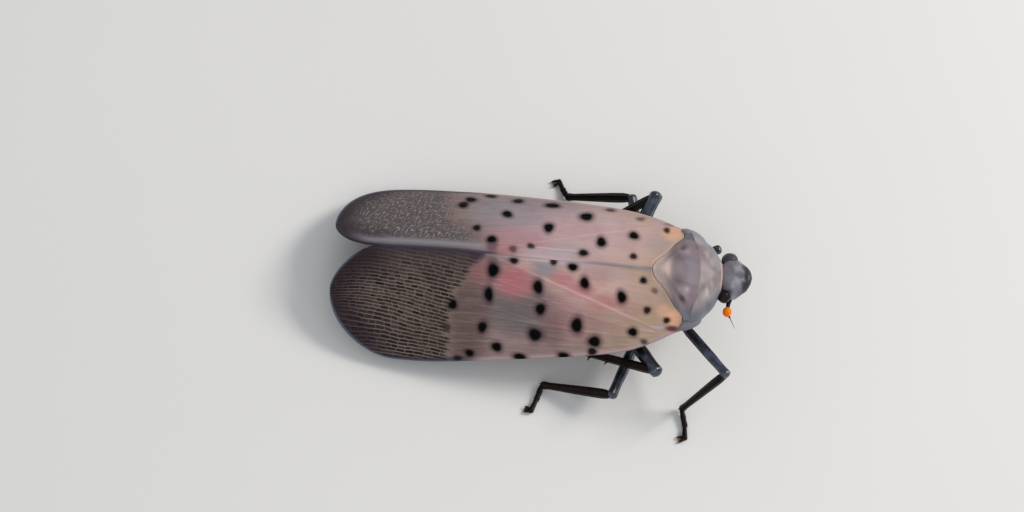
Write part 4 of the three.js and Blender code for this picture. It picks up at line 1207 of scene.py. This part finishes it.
def shell_grain(tree, coarse, fine):
    """Soft clouds and a fine grain, each by its scale."""
    scales = {"Coarse": coarse, "Fine": fine}
    return placed_group(tree, "Shell grain", scales, ("Clouds", "Grain"), fill_grain)


def fill_pits(tree, given):
    place = put(tree, "ShaderNodeTexCoord").outputs["Object"]
    cells = put(tree, "ShaderNodeTexVoronoi", {"Vector": place, "Scale": given["Scale"]})
    return {"Pits": ranged(tree, cells.outputs["Distance"], 0.0, 0.55, 1.0, 0.0)}


def shell_pits(tree, scale):
    """Small close pits, deepest in their middles."""
    return placed_group(tree, "Shell pits", {"Scale": scale}, ("Pits",), fill_pits)["Pits"]


def fill_streaks(tree, given):
    long = sums(tree, "MULTIPLY", given["Along"], given["Stretch"])
    wide = sums(tree, "MULTIPLY", given["Across"], given["Fineness"])
    place = put(tree, "ShaderNodeCombineXYZ", {"X": long, "Y": wide, "Z": given["Seed"]}).outputs[0]
    noise = put(tree, "ShaderNodeTexNoise", {"Vector": place, "Scale": 1.0, "Detail": 5, "Roughness": 0.6})
    return {"Streaks": noise.outputs["Fac"]}


def wing_streaks(tree, long, wide, stretch, fineness, seed):
    """Streaks that run along the wing."""
    values = {"Along": long, "Across": wide, "Stretch": stretch, "Fineness": fineness, "Seed": seed}
    return placed_group(tree, "Wing streaks", values, ("Streaks",), fill_streaks)["Streaks"]


# Finishes: each gives what its Principled shader takes

def wing_ground(tree, looks, grain, fine):
    """Colour of the forewing before its net, from tan at the base to mauve."""
    tone = mixed(tree, ranged(tree, mask(tree, "along"), -7.0, -2.5), looks.wing_mauve, looks.wing_tan)
    # The peach patches are partly painted light on the left wing; one blue-grey patch is a painted highlight by
    # the left wing's shoulder.
    tone = tinted(tree, tone, [
        ("glow", 1.0, looks.wing_peach_and_light), ("grey", 1.0, looks.wing_grey), ("haze", 1.0, looks.wing_haze),
        ("umber", 1.0, looks.wing_umber), ("pink", 1.0, looks.wing_pink), ("orange", 1.0, looks.wing_orange),
        ("blush", 1.0, looks.wing_blue_and_highlight),
    ])
    streaks = wing_streaks(tree, mask(tree, "along"), mask(tree, "across"), 0.6, 9.0, 0.0)
    light = mixed(tree, 0.3, tone, (1, 0.95, 0.92))
    tone = mixed(tree, ranged(tree, streaks, 0.5, 0.75, 0.0, 0.3), tone, light)
    deep = adjusted(tree, tone, Value=0.7, Saturation=1.1)
    tone = mixed(tree, ranged(tree, fine, 0.48, 0.72, 0.0, 0.35), tone, deep)
    tone = mixed(tree, ranged(tree, grain["Clouds"], 0.5, 0.7, 0.0, 0.3), tone, deep)
    return tinted(tree, tone, [
        ("veins", 0.08, looks.wing_vein), ("seam", 0.42, looks.wing_seam), ("ridge", 0.5, looks.wing_vein),
        ("costa", 0.7, looks.wing_costa), ("gutter", 0.75, looks.wing_slate),
        ("cream", 0.55, looks.wing_cream),
    ])


def wing_net(tree, looks, grain):
    """Colour of the forewing's netted tip, with strokes aslant to it on the upper wing."""
    net = mixed(tree, mask(tree, "cells"), looks.net_line, looks.net_cell)
    net = mixed(tree, ranged(tree, mask(tree, "across"), 0.3, 2.3, 0.75, 0.0), net, looks.tip_shade)
    net = mixed(tree, ranged(tree, grain["Clouds"], 0.42, 0.62, 0.0, 0.2), net, looks.tip_shade)
    # A painted reflection: the pale sheen over the left wing's tip.
    net = tinted(tree, net, [("painted_tip_sheen", 0.7, looks.wing_painted_tip_sheen)])

    def turned(operation, along_share, across_share):
        return sums(tree, operation, sums(tree, "MULTIPLY", mask(tree, "along"), along_share),
                    sums(tree, "MULTIPLY", mask(tree, "across"), across_share))

    strokes = wing_streaks(tree, turned("ADD", 0.47, 0.88), turned("SUBTRACT", 0.88, 0.47), 3.2, 8.5, 9.0)
    flecks = sums(tree, "MULTIPLY", mask(tree, "flecks"), ranged(tree, strokes, 0.5, 0.68, 0.0, 0.85))
    return mixed(tree, flecks, net, looks.wing_fleck)


def wing_membrane(tree, looks):
    grain = shell_grain(tree, 700.0, 14000.0)
    fine = wing_streaks(tree, mask(tree, "along"), mask(tree, "across"), 1.4, 22.0, 4.0)
    tone = mixed(tree, mask(tree, "tip"), wing_ground(tree, looks, grain, fine), wing_net(tree, looks, grain))
    # The pale band by the left wing's inner margin is a painted highlight, the dark beside its inner edge a
    # painted shadow, and the fine bluish line along the tips' edges a painted highlight.
    tone = tinted(tree, tone, [
        ("rim", 0.85, looks.wing_rim), ("lap_highlight", 0.75, looks.wing_lap_highlight), ("lip", 0.8, looks.wing_dusk_and_shadow),
        ("edge", 0.75, looks.wing_edge_highlight), ("rust", 0.9, looks.wing_rust), ("dusk", 1.0, looks.wing_dusk_and_shadow),
        ("halos", 0.6, looks.spot_halo), ("spots", 1.0, looks.spot),
    ])
    return {
        "Base Color": tone,
        "Roughness": ranged(tree, grain["Grain"], 0.3, 0.7, 0.4, 0.52),
        "Specular IOR Level": 0.04,
        "Normal": bump(tree, grain["Grain"], 0.006, 0.7, bump(tree, fine, 0.012, 0.6)),
    }


def hind_wing_membrane(tree, looks):
    grain = shell_grain(tree, 900.0, 12000.0)
    red = mixed(tree, ranged(tree, grain["Clouds"], 0.35, 0.65), looks.hind_red, looks.hind_deep)
    tone = mixed(tree, mask(tree, "red"), looks.hind_black, red)
    tone = mixed(tree, mask(tree, "white"), tone, looks.hind_white)
    tone = mixed(tree, mask(tree, "spots"), tone, looks.hind_black)
    # Painted shade: darker red in the valleys of the pleats.
    tone = mixed(tree, ranged(tree, mask(tree, "folds"), 0.8, 1.0, 0.0, 0.4), tone, looks.hind_deep)
    return {"Base Color": tone, "Roughness": 0.45, "Normal": bump(tree, grain["Grain"], 0.008)}


def shield(tree, looks):
    grain = shell_grain(tree, 1100.0, 16000.0)
    tone = mixed(tree, ranged(tree, grain["Clouds"], 0.35, 0.65), looks.shield, looks.shield_brown)
    tone = tinted(tree, tone, [("mauve", 0.85, looks.shield_mauve), ("flank", 1.0, looks.shield_blue),
                               ("pale", 0.75, looks.shield_pale), ("dark", 0.8, looks.shield_dark)])
    clouds = ranged(tree, grain["Clouds"], 0.45, 0.62, 0.0, 0.7)
    return {
        "Base Color": mixed(tree, clouds, tone, adjusted(tree, tone, Value=0.82)),
        "Roughness": ranged(tree, grain["Grain"], 0.3, 0.7, 0.36, 0.52),
        "Specular IOR Level": 0.35,
        "Coat Weight": 0.05,
        "Coat Roughness": 0.25,
        "Normal": bump(tree, shell_pits(tree, 11000.0), 0.006, 0.6, bump(tree, grain["Clouds"], 0.012, 0.8)),
    }


def head_shell(tree, looks):
    grain = shell_grain(tree, 1300.0, 15000.0)
    tone = mixed(tree, ranged(tree, grain["Clouds"], 0.4, 0.65), looks.head, looks.head_grey)
    # The pale patches are partly painted highlights, those on the cheeks wholly.
    tone = tinted(tree, tone, [("nape", 0.8, looks.head_mauve), ("dark", 0.9, looks.head_dark),
                               ("pale", 0.75, looks.head_pale_and_highlights)])
    return {
        "Base Color": tone,
        "Roughness": ranged(tree, grain["Grain"], 0.3, 0.7, 0.36, 0.52),
        "Specular IOR Level": 0.35,
        "Coat Weight": 0.06,
        "Coat Roughness": 0.25,
        "Normal": bump(tree, shell_pits(tree, 10000.0), 0.008, 0.6, bump(tree, grain["Clouds"], 0.04, 0.8)),
    }


def simple_eye(tree, looks):
    grain = shell_grain(tree, 3000.0, 20000.0)
    return {"Base Color": mixed(tree, grain["Clouds"], looks.eye, looks.eye_red), "Roughness": 0.12,
            "Coat Weight": 0.8}


def compound_eye(tree, looks):
    grain = shell_grain(tree, 1600.0, 9000.0)
    tone = mixed(tree, ranged(tree, grain["Clouds"], 0.4, 0.6), looks.eye, looks.eye_red)
    # bloom lays the head's grey over the left eye as a painted highlight.
    return {
        "Base Color": tinted(tree, tone, [("bloom", 0.9, looks.head)]),
        "Roughness": 0.28,
        "Specular IOR Level": 0.2,
        "Coat Weight": 0.06,
        "Coat Roughness": 0.1,
        "Normal": bump(tree, shell_pits(tree, 26000.0), 0.012, 0.8),
    }


def antenna_bulb(tree, looks):
    grain = shell_grain(tree, 2200.0, 14000.0)
    tone = mixed(tree, ranged(tree, grain["Clouds"], 0.35, 0.65), looks.bulb, looks.bulb_deep)
    dents = sums(tree, "MULTIPLY", shell_pits(tree, 11000.0), mask(tree, "pits"))
    return {
        "Base Color": mixed(tree, sums(tree, "MULTIPLY", dents, 0.35), tone, looks.bulb_deep),
        "Roughness": 0.42,
        "Specular IOR Level": 0.2,
        "Normal": bump(tree, dents, 0.03, -0.8),
    }


def leg_shell(tree, looks):
    grain = shell_grain(tree, 1500.0, 18000.0)
    return {
        # Painted reflection: blotches of blue-grey sheen on the dark shell.
        "Base Color": mixed(tree, ranged(tree, grain["Clouds"], 0.46, 0.66), looks.leg, looks.leg_painted_sheen),
        "Roughness": ranged(tree, grain["Grain"], 0.3, 0.7, 0.26, 0.42),
        "Coat Weight": 0.75,
        "Coat Roughness": 0.2,
        "Coat Tint": (0.75, 0.85, 1, 1),
        "Normal": bump(tree, shell_pits(tree, 12000.0), 0.01, 0.6),
    }


def shin_shell(tree, looks):
    grain = shell_grain(tree, 1800.0, 18000.0)
    return {
        "Base Color": mixed(tree, ranged(tree, grain["Clouds"], 0.4, 0.65), looks.leg_brown, looks.leg_black),
        "Roughness": ranged(tree, grain["Grain"], 0.3, 0.7, 0.3, 0.45),
        "Specular IOR Level": 0.12,
        "Normal": bump(tree, shell_pits(tree, 12000.0), 0.01, 0.6),
    }


def foot_pad(tree, looks):
    grain = shell_grain(tree, 2600.0, 16000.0)
    return {
        "Base Color": mixed(tree, ranged(tree, grain["Clouds"], 0.4, 0.6), looks.pad, looks.leg_brown),
        "Roughness": 0.5,
        "Normal": bump(tree, grain["Grain"], 0.01),
    }


def abdomen_shell(tree, looks):
    grain = shell_grain(tree, 900.0, 12000.0)
    tone = mixed(tree, ranged(tree, grain["Clouds"], 0.35, 0.65), looks.belly_yellow, looks.belly_ochre)
    tone = mixed(tree, mask(tree, "seams"), tone, looks.belly_ochre)
    tone = mixed(tree, mask(tree, "bands"), tone, looks.belly_black)
    return {
        "Base Color": mixed(tree, sums(tree, "MULTIPLY", mask(tree, "wax"), 0.7), tone, looks.wax),
        "Roughness": ranged(tree, grain["Grain"], 0.3, 0.7, 0.35, 0.55),
        "Normal": bump(tree, grain["Grain"], 0.012, 0.8),
    }


def studio_floor(tree, looks):
    grain = shell_grain(tree, 30.0, 600.0)
    return {"Base Color": mixed(tree, grain["Clouds"], looks.floor, looks.floor_light), "Roughness": 0.75}


FINISHES = {
    "Wing membrane": wing_membrane, "Hind wing membrane": hind_wing_membrane, "Shield": shield,
    "Head shell": head_shell, "Simple eye": simple_eye, "Compound eye": compound_eye,
    "Antenna bulb": antenna_bulb, "Leg shell": leg_shell, "Shin shell": shin_shell, "Foot pad": foot_pad,
    "Abdomen shell": abdomen_shell, "Studio floor": studio_floor,
}


def finish(name):
    """The finish of this name, made at its first use."""
    made = bpy.data.materials.get(name)
    if made is None:
        made = bpy.data.materials.new(name)
        made.use_nodes = True
        tree = made.node_tree
        tree.nodes.clear()
        shader = put(tree, "ShaderNodeBsdfPrincipled", FINISHES[name](tree, looks()))
        put(tree, "ShaderNodeOutputMaterial", {"Surface": shader.outputs[0]})
    return made


# What a user may change

class LanternflySizes(bpy.types.PropertyGroup):
    wing_columns: IntProperty(name="Wing columns", description="Points across each forewing", default=220,
                              min=40, max=400)
    wing_skin: length("Forewing thickness", "From a forewing's upper face to its lower one", 0.16)
    hindwing_skin: length("Hind wing thickness", "From a hind wing's upper face to its lower one", 0.09)
    camera_distance: length("Camera distance", "From the camera to the middle of the insect", 150.0)
    floor_side: length("Floor side", "Side of the square studio floor", 3000.0)
    key_power: FloatProperty(name="Key light", description="Power of the main light", default=0.55, min=0,
                             unit="POWER")
    fill_power: FloatProperty(name="Fill light", description="Power of the soft light by the camera",
                              default=0.22, min=0, unit="POWER")
    room_light: FloatProperty(name="Room light", description="Strength of the light from all round",
                              default=0.5, min=0, soft_max=2, subtype="FACTOR")


class LanternflyLooks(bpy.types.PropertyGroup):
    wing_mauve: colour("Wing mauve", "Middle of the forewing", 155, 129, 126)
    wing_tan: colour("Wing tan", "Base of the forewing", 177, 151, 130)
    # Lighter peach, which on the left wing also stands for painted light.
    wing_peach_and_light: colour("Wing peach", "Light parts of the forewing", 202, 169, 160)
    wing_grey: colour("Wing grey", "Grey patches of the forewing", 112, 102, 102)
    wing_umber: colour("Wing umber", "Brown-grey before the net", 106, 87, 83)
    wing_pink: colour("Wing pink", "Pink patches of the forewing", 180, 112, 117)
    wing_orange: colour("Wing orange", "Shoulders of the forewing", 240, 182, 148)
    # Blue-grey bloom, and also a painted highlight by the left wing's shoulder.
    wing_blue_and_highlight: colour("Wing blue-grey", "Cool bloom beside the ridge", 186, 166, 176)
    wing_haze: colour("Wing haze", "Neutral grey bloom of the forewing", 150, 143, 148)
    wing_slate: colour("Wing slate", "Blue-grey gutter between the bases of the forewings", 128, 124, 136)
    wing_fleck: colour("Wing flecks", "Pale strokes of the upper forewing's tip", 168, 160, 155)
    wing_cream: colour("Wing cream", "Basal margin of the forewing", 206, 182, 166)
    wing_vein: colour("Wing vein", "Pale veins and margins of the forewing", 214, 190, 182)
    wing_seam: colour("Wing seam", "The pale seam across the forewing", 222, 182, 174)
    wing_costa: colour("Wing costa", "Outer margin of the forewing", 184, 160, 164)
    # Dark blue-grey marks, and also the painted shadow along the left wing's inner edge.
    wing_dusk_and_shadow: colour("Wing dusk", "Dark blue-grey marks of the forewing", 58, 53, 68)
    net_line: colour("Net lines", "Veins of the forewing's tip", 152, 134, 123)
    net_cell: colour("Net cells", "Cells of the forewing's tip", 20, 12, 14)
    tip_shade: colour("Tip shade", "Darker clouds of the forewing's tip", 76, 62, 60)
    wing_rim: colour("Wing rim", "Dark margin of the forewing's tip", 50, 38, 45)
    wing_rust: colour("Wing rust", "Brown marks by the shoulders", 84, 34, 34)
    # Painted reflection: the pale sheen over the left wing's tip.
    wing_painted_tip_sheen: colour("Wing mist", "Pale flecks of the forewing's tip", 97, 90, 94)
    # Painted highlight on the left wing's rounded inner margin.
    wing_lap_highlight: colour("Wing lap", "Pale inner margin of the upper forewing", 151, 147, 153)
    # Painted highlight: the fine bluish line along the tips' edges.
    wing_edge_highlight: colour("Wing edge", "Fine bluish edge of the forewing's tip", 98, 112, 130)
    spot: colour("Spots", "Black spots", 4, 3, 4)
    spot_halo: colour("Spot halos", "Soft borders of the spots", 44, 32, 38)
    hind_red: colour("Hind wing red", "Base of the hind wing", 178, 30, 24)
    hind_deep: colour("Hind wing deep red", "Darker red of the hind wing", 128, 18, 18)
    hind_black: colour("Hind wing black", "Tip and spots of the hind wing", 20, 17, 18)
    hind_white: colour("Hind wing white", "Band of the hind wing", 216, 208, 196)
    shield: colour("Shield grey", "Plates behind the head", 172, 160, 158)
    shield_brown: colour("Shield brown", "Brown clouds of the plates", 156, 138, 138)
    shield_mauve: colour("Shield mauve", "The plate between the wing bases", 134, 116, 124)
    shield_blue: colour("Shield blue-grey", "Sides of the plates", 136, 138, 148)
    shield_dark: colour("Shield marks", "Dark marks of the plates", 64, 52, 60)
    shield_pale: colour("Shield rim", "Pale rims of the plates", 214, 186, 175)
    head: colour("Head", "Shell of the head", 98, 95, 103)
    head_grey: colour("Head grey", "Grey clouds of the head", 134, 130, 138)
    # Pale patches, partly painted highlights.
    head_pale_and_highlights: colour("Head patches", "Pale patches of the head", 182, 180, 188)
    head_mauve: colour("Head mauve", "Nape of the head", 112, 101, 107)
    head_dark: colour("Head dark", "Brow and cheeks of the head", 22, 24, 37)
    eye: colour("Eye", "Compound eyes", 8, 5, 7)
    eye_red: colour("Eye red", "Red clouds of the eyes", 26, 10, 10)
    bulb: colour("Antenna orange", "Antenna bulbs", 255, 152, 4)
    bulb_deep: colour("Antenna deep orange", "Pits of the antenna bulbs", 246, 112, 0)
    leg: colour("Leg", "Shell of the thighs", 13, 13, 18)
    # Painted reflection: blue-grey sheen on the thighs.
    leg_painted_sheen: colour("Leg bloom", "Blue-grey bloom of the thighs", 66, 73, 89)
    leg_brown: colour("Leg brown", "Shell of the shins and feet", 31, 15, 15)
    leg_black: colour("Leg black", "Dark clouds of the shins and feet", 9, 5, 6)
    pad: colour("Foot pad", "Pads between the claws", 150, 98, 34)
    belly_yellow: colour("Abdomen yellow", "Yellow of the abdomen", 206, 160, 50)
    belly_ochre: colour("Abdomen ochre", "Darker yellow of the abdomen", 166, 118, 38)
    belly_black: colour("Abdomen bands", "Bands of the abdomen", 26, 22, 22)
    wax: colour("Wax", "Waxy end of the abdomen", 190, 184, 172)
    floor: colour("Floor", "Studio floor", 226, 224, 221)
    floor_light: colour("Floor clouds", "Lighter clouds of the studio floor", 231, 229, 226)


def sizes():
    return bpy.context.scene.lanternfly_sizes


def looks():
    return bpy.context.scene.lanternfly_looks


# Operators

class LANTERNFLY_OT_forewings(bpy.types.Operator):
    """Builds both spotted forewings"""
    bl_idname = "lanternfly.forewings"
    bl_label = "Forewings"

    def execute(self, context):
        for name in SIDES:
            wing = forewing(name, sizes())
            wing.piece(f"spotted_forewing_{name}", ["Wing membrane"], "forewing", [f"forewing_{name}"])
        return {"FINISHED"}


class LANTERNFLY_OT_hindwings(bpy.types.Operator):
    """Builds both pleated hind wings"""
    bl_idname = "lanternfly.hindwings"
    bl_label = "Hind wings"

    def execute(self, context):
        for name in SIDES:
            wing = hindwing(name, sizes())
            wing.piece(f"pleated_hindwing_{name}", ["Hind wing membrane"], "hindwing", [f"hindwing_{name}"])
        return {"FINISHED"}


class LANTERNFLY_OT_shields(bpy.types.Operator):
    """Builds the plates of the thorax"""
    bl_idname = "lanternfly.shields"
    bl_label = "Thorax"

    def execute(self, context):
        pronotum().piece("saddle_plate", ["Shield"], "shield", ["pronotum"])
        thorax().piece("thorax_plates", ["Shield"], "shield", ["thorax"])
        return {"FINISHED"}


class LANTERNFLY_OT_head(bpy.types.Operator):
    """Builds the head with its simple eyes"""
    bl_idname = "lanternfly.head"
    bl_label = "Head"

    def execute(self, context):
        head().piece("head_shell", ["Head shell", "Simple eye"], "head", ["head"])
        return {"FINISHED"}


class LANTERNFLY_OT_beak(bpy.types.Operator):
    """Builds the beak"""
    bl_idname = "lanternfly.beak"
    bl_label = "Beak"

    def execute(self, context):
        beak().piece("jointed_beak", ["Leg shell"], "beak", ["beak"])
        return {"FINISHED"}


class LANTERNFLY_OT_eyes(bpy.types.Operator):
    """Builds both compound eyes"""
    bl_idname = "lanternfly.eyes"
    bl_label = "Eyes"

    def execute(self, context):
        for name, side in SIDES.items():
            eye(side).piece(f"compound_eye_{name}", ["Compound eye"], "eye", [f"eye_{name}"])
        return {"FINISHED"}


class LANTERNFLY_OT_antennae(bpy.types.Operator):
    """Builds both antennae"""
    bl_idname = "lanternfly.antennae"
    bl_label = "Antennae"

    def execute(self, context):
        for name, side in SIDES.items():
            finishes = ["Antenna bulb", "Shin shell"]
            antenna(side).piece(f"orange_antenna_{name}", finishes, "antenna", [f"antenna_{name}"])
        return {"FINISHED"}


class LANTERNFLY_OT_abdomen(bpy.types.Operator):
    """Builds the banded abdomen"""
    bl_idname = "lanternfly.abdomen"
    bl_label = "Abdomen"

    def execute(self, context):
        abdomen().piece("banded_abdomen", ["Abdomen shell"], "abdomen", ["abdomen"])
        return {"FINISHED"}


class LANTERNFLY_OT_legs(bpy.types.Operator):
    """Builds the six legs"""
    bl_idname = "lanternfly.legs"
    bl_label = "Legs"

    def execute(self, context):
        for name in LEGS:
            nodes = [f"leg_{name}_{part}" for part in ("coxa", "femur", "tibia", "tarsus")]
            leg(name).piece(f"jointed_leg_{name}", ["Leg shell", "Foot pad", "Shin shell"], "leg", nodes)
        return {"FINISHED"}


# Stage

CAMERA_ELEVATION, CAMERA_AZIMUTH = math.radians(65), math.radians(3)
CAMERA_TARGET = (-10.24, 0, 5.44)
FOCAL_PIXELS, IMAGE_WIDTH, SENSOR = 2520, 1024, 36.0
ROOM_TINT = (0.9, 0.94, 1, 1)
LIT_MIDDLE = np.array([0, 0, 0.003])


def stand(made, place, axes):
    """Puts an object in the scene at a place, its own axes along the given ones."""
    made.matrix_world = Matrix([[*(axis[k] for axis in axes), place[k]] for k in range(3)] + [[0, 0, 0, 1]])
    bpy.context.scene.collection.objects.link(made)


def add_camera(distance):
    e, a = CAMERA_ELEVATION, CAMERA_AZIMUTH
    back = np.array([math.sin(a) * math.cos(e), -math.cos(a) * math.cos(e), math.sin(e)])
    right = np.array([math.cos(a), math.sin(a), 0])
    lens = bpy.data.cameras.new("Camera")
    lens.sensor_width = SENSOR
    lens.lens = SENSOR * FOCAL_PIXELS / IMAGE_WIDTH
    lens.clip_start, lens.clip_end = 0.005, 10
    made = bpy.data.objects.new("Camera", lens)
    place = (tipped(CAMERA_TARGET) + ORIGIN) * MM + tipped(back) * distance
    stand(made, place, [tipped(way) for way in (right, np.cross(back, right), back)])
    bpy.context.scene.camera = made


def add_light(name, direction, distance, size, power, tint):
    """A square soft light that faces the middle of the insect."""
    lamp = bpy.data.lights.new(name, "AREA")
    lamp.size, lamp.energy, lamp.color = size, power, tint
    way = unit(direction)
    level = unit(np.cross((0, 0, 1.0), way))
    stand(bpy.data.objects.new(name, lamp), LIT_MIDDLE + way * distance, [level, np.cross(way, level), way])


class LANTERNFLY_OT_stage(bpy.types.Operator):
    """Builds the floor, the lights and the camera"""
    bl_idname = "lanternfly.stage"
    bl_label = "Stage"

    def execute(self, context):
        half = sizes().floor_side / 2
        corners = [(-half, -half, 0), (half, -half, 0), (half, half, 0), (-half, half, 0)]
        mesh = bpy.data.meshes.new("studio_floor")
        mesh.from_pydata(corners, [], [(0, 1, 2, 3)])
        mesh.materials.append(finish("Studio floor"))
        floor = bpy.data.objects.new("studio_floor", mesh)
        context.scene.collection.objects.link(floor)
        world = bpy.data.worlds.new("Studio")
        world.use_nodes = True
        room = {"Color": ROOM_TINT, "Strength": sizes().room_light}
        feed(world.node_tree, world.node_tree.nodes["Background"], room)
        context.scene.world = world
        add_light("Key light", (0.85, 0.35, 0.75), 0.3, 0.1, sizes().key_power, (1, 0.96, 0.9))
        add_light("Fill light", (-0.2, -0.9, 0.9), 0.35, 0.25, sizes().fill_power, (0.92, 0.96, 1))
        add_camera(sizes().camera_distance)
        context.scene.view_settings.view_transform = "Standard"
        return {"FINISHED"}


class LANTERNFLY_PT_panel(bpy.types.Panel):
    """Lists the pieces of the lanternfly and what can be changed"""
    bl_idname = "LANTERNFLY_PT_panel"
    bl_label = "Lanternfly"
    bl_space_type = "VIEW_3D"
    bl_region_type = "UI"
    bl_category = "Lanternfly"

    def draw(self, context):
        for step in STEPS:
            self.layout.operator(step.bl_idname)
        for holder in (context.scene.lanternfly_sizes, context.scene.lanternfly_looks):
            for key in holder.__annotations__:
                self.layout.prop(holder, key)


STEPS = (
    LANTERNFLY_OT_forewings, LANTERNFLY_OT_hindwings, LANTERNFLY_OT_shields, LANTERNFLY_OT_head,
    LANTERNFLY_OT_beak, LANTERNFLY_OT_eyes, LANTERNFLY_OT_antennae, LANTERNFLY_OT_abdomen,
    LANTERNFLY_OT_legs, LANTERNFLY_OT_stage,
)
CLASSES = (LanternflySizes, LanternflyLooks, *STEPS, LANTERNFLY_PT_panel)


def register():
    for made in CLASSES:
        bpy.utils.register_class(made)
    bpy.types.Scene.lanternfly_sizes = PointerProperty(type=LanternflySizes)
    bpy.types.Scene.lanternfly_looks = PointerProperty(type=LanternflyLooks)


def unregister():
    del bpy.types.Scene.lanternfly_looks
    del bpy.types.Scene.lanternfly_sizes
    for made in reversed(CLASSES):
        bpy.utils.unregister_class(made)


def main():
    register()
    bpy.ops.lanternfly.forewings()
    bpy.ops.lanternfly.hindwings()
    bpy.ops.lanternfly.shields()
    bpy.ops.lanternfly.head()
    bpy.ops.lanternfly.beak()
    bpy.ops.lanternfly.eyes()
    bpy.ops.lanternfly.antennae()
    bpy.ops.lanternfly.abdomen()
    bpy.ops.lanternfly.legs()
    bpy.ops.lanternfly.stage()


if __name__ == "__main__":
    main()
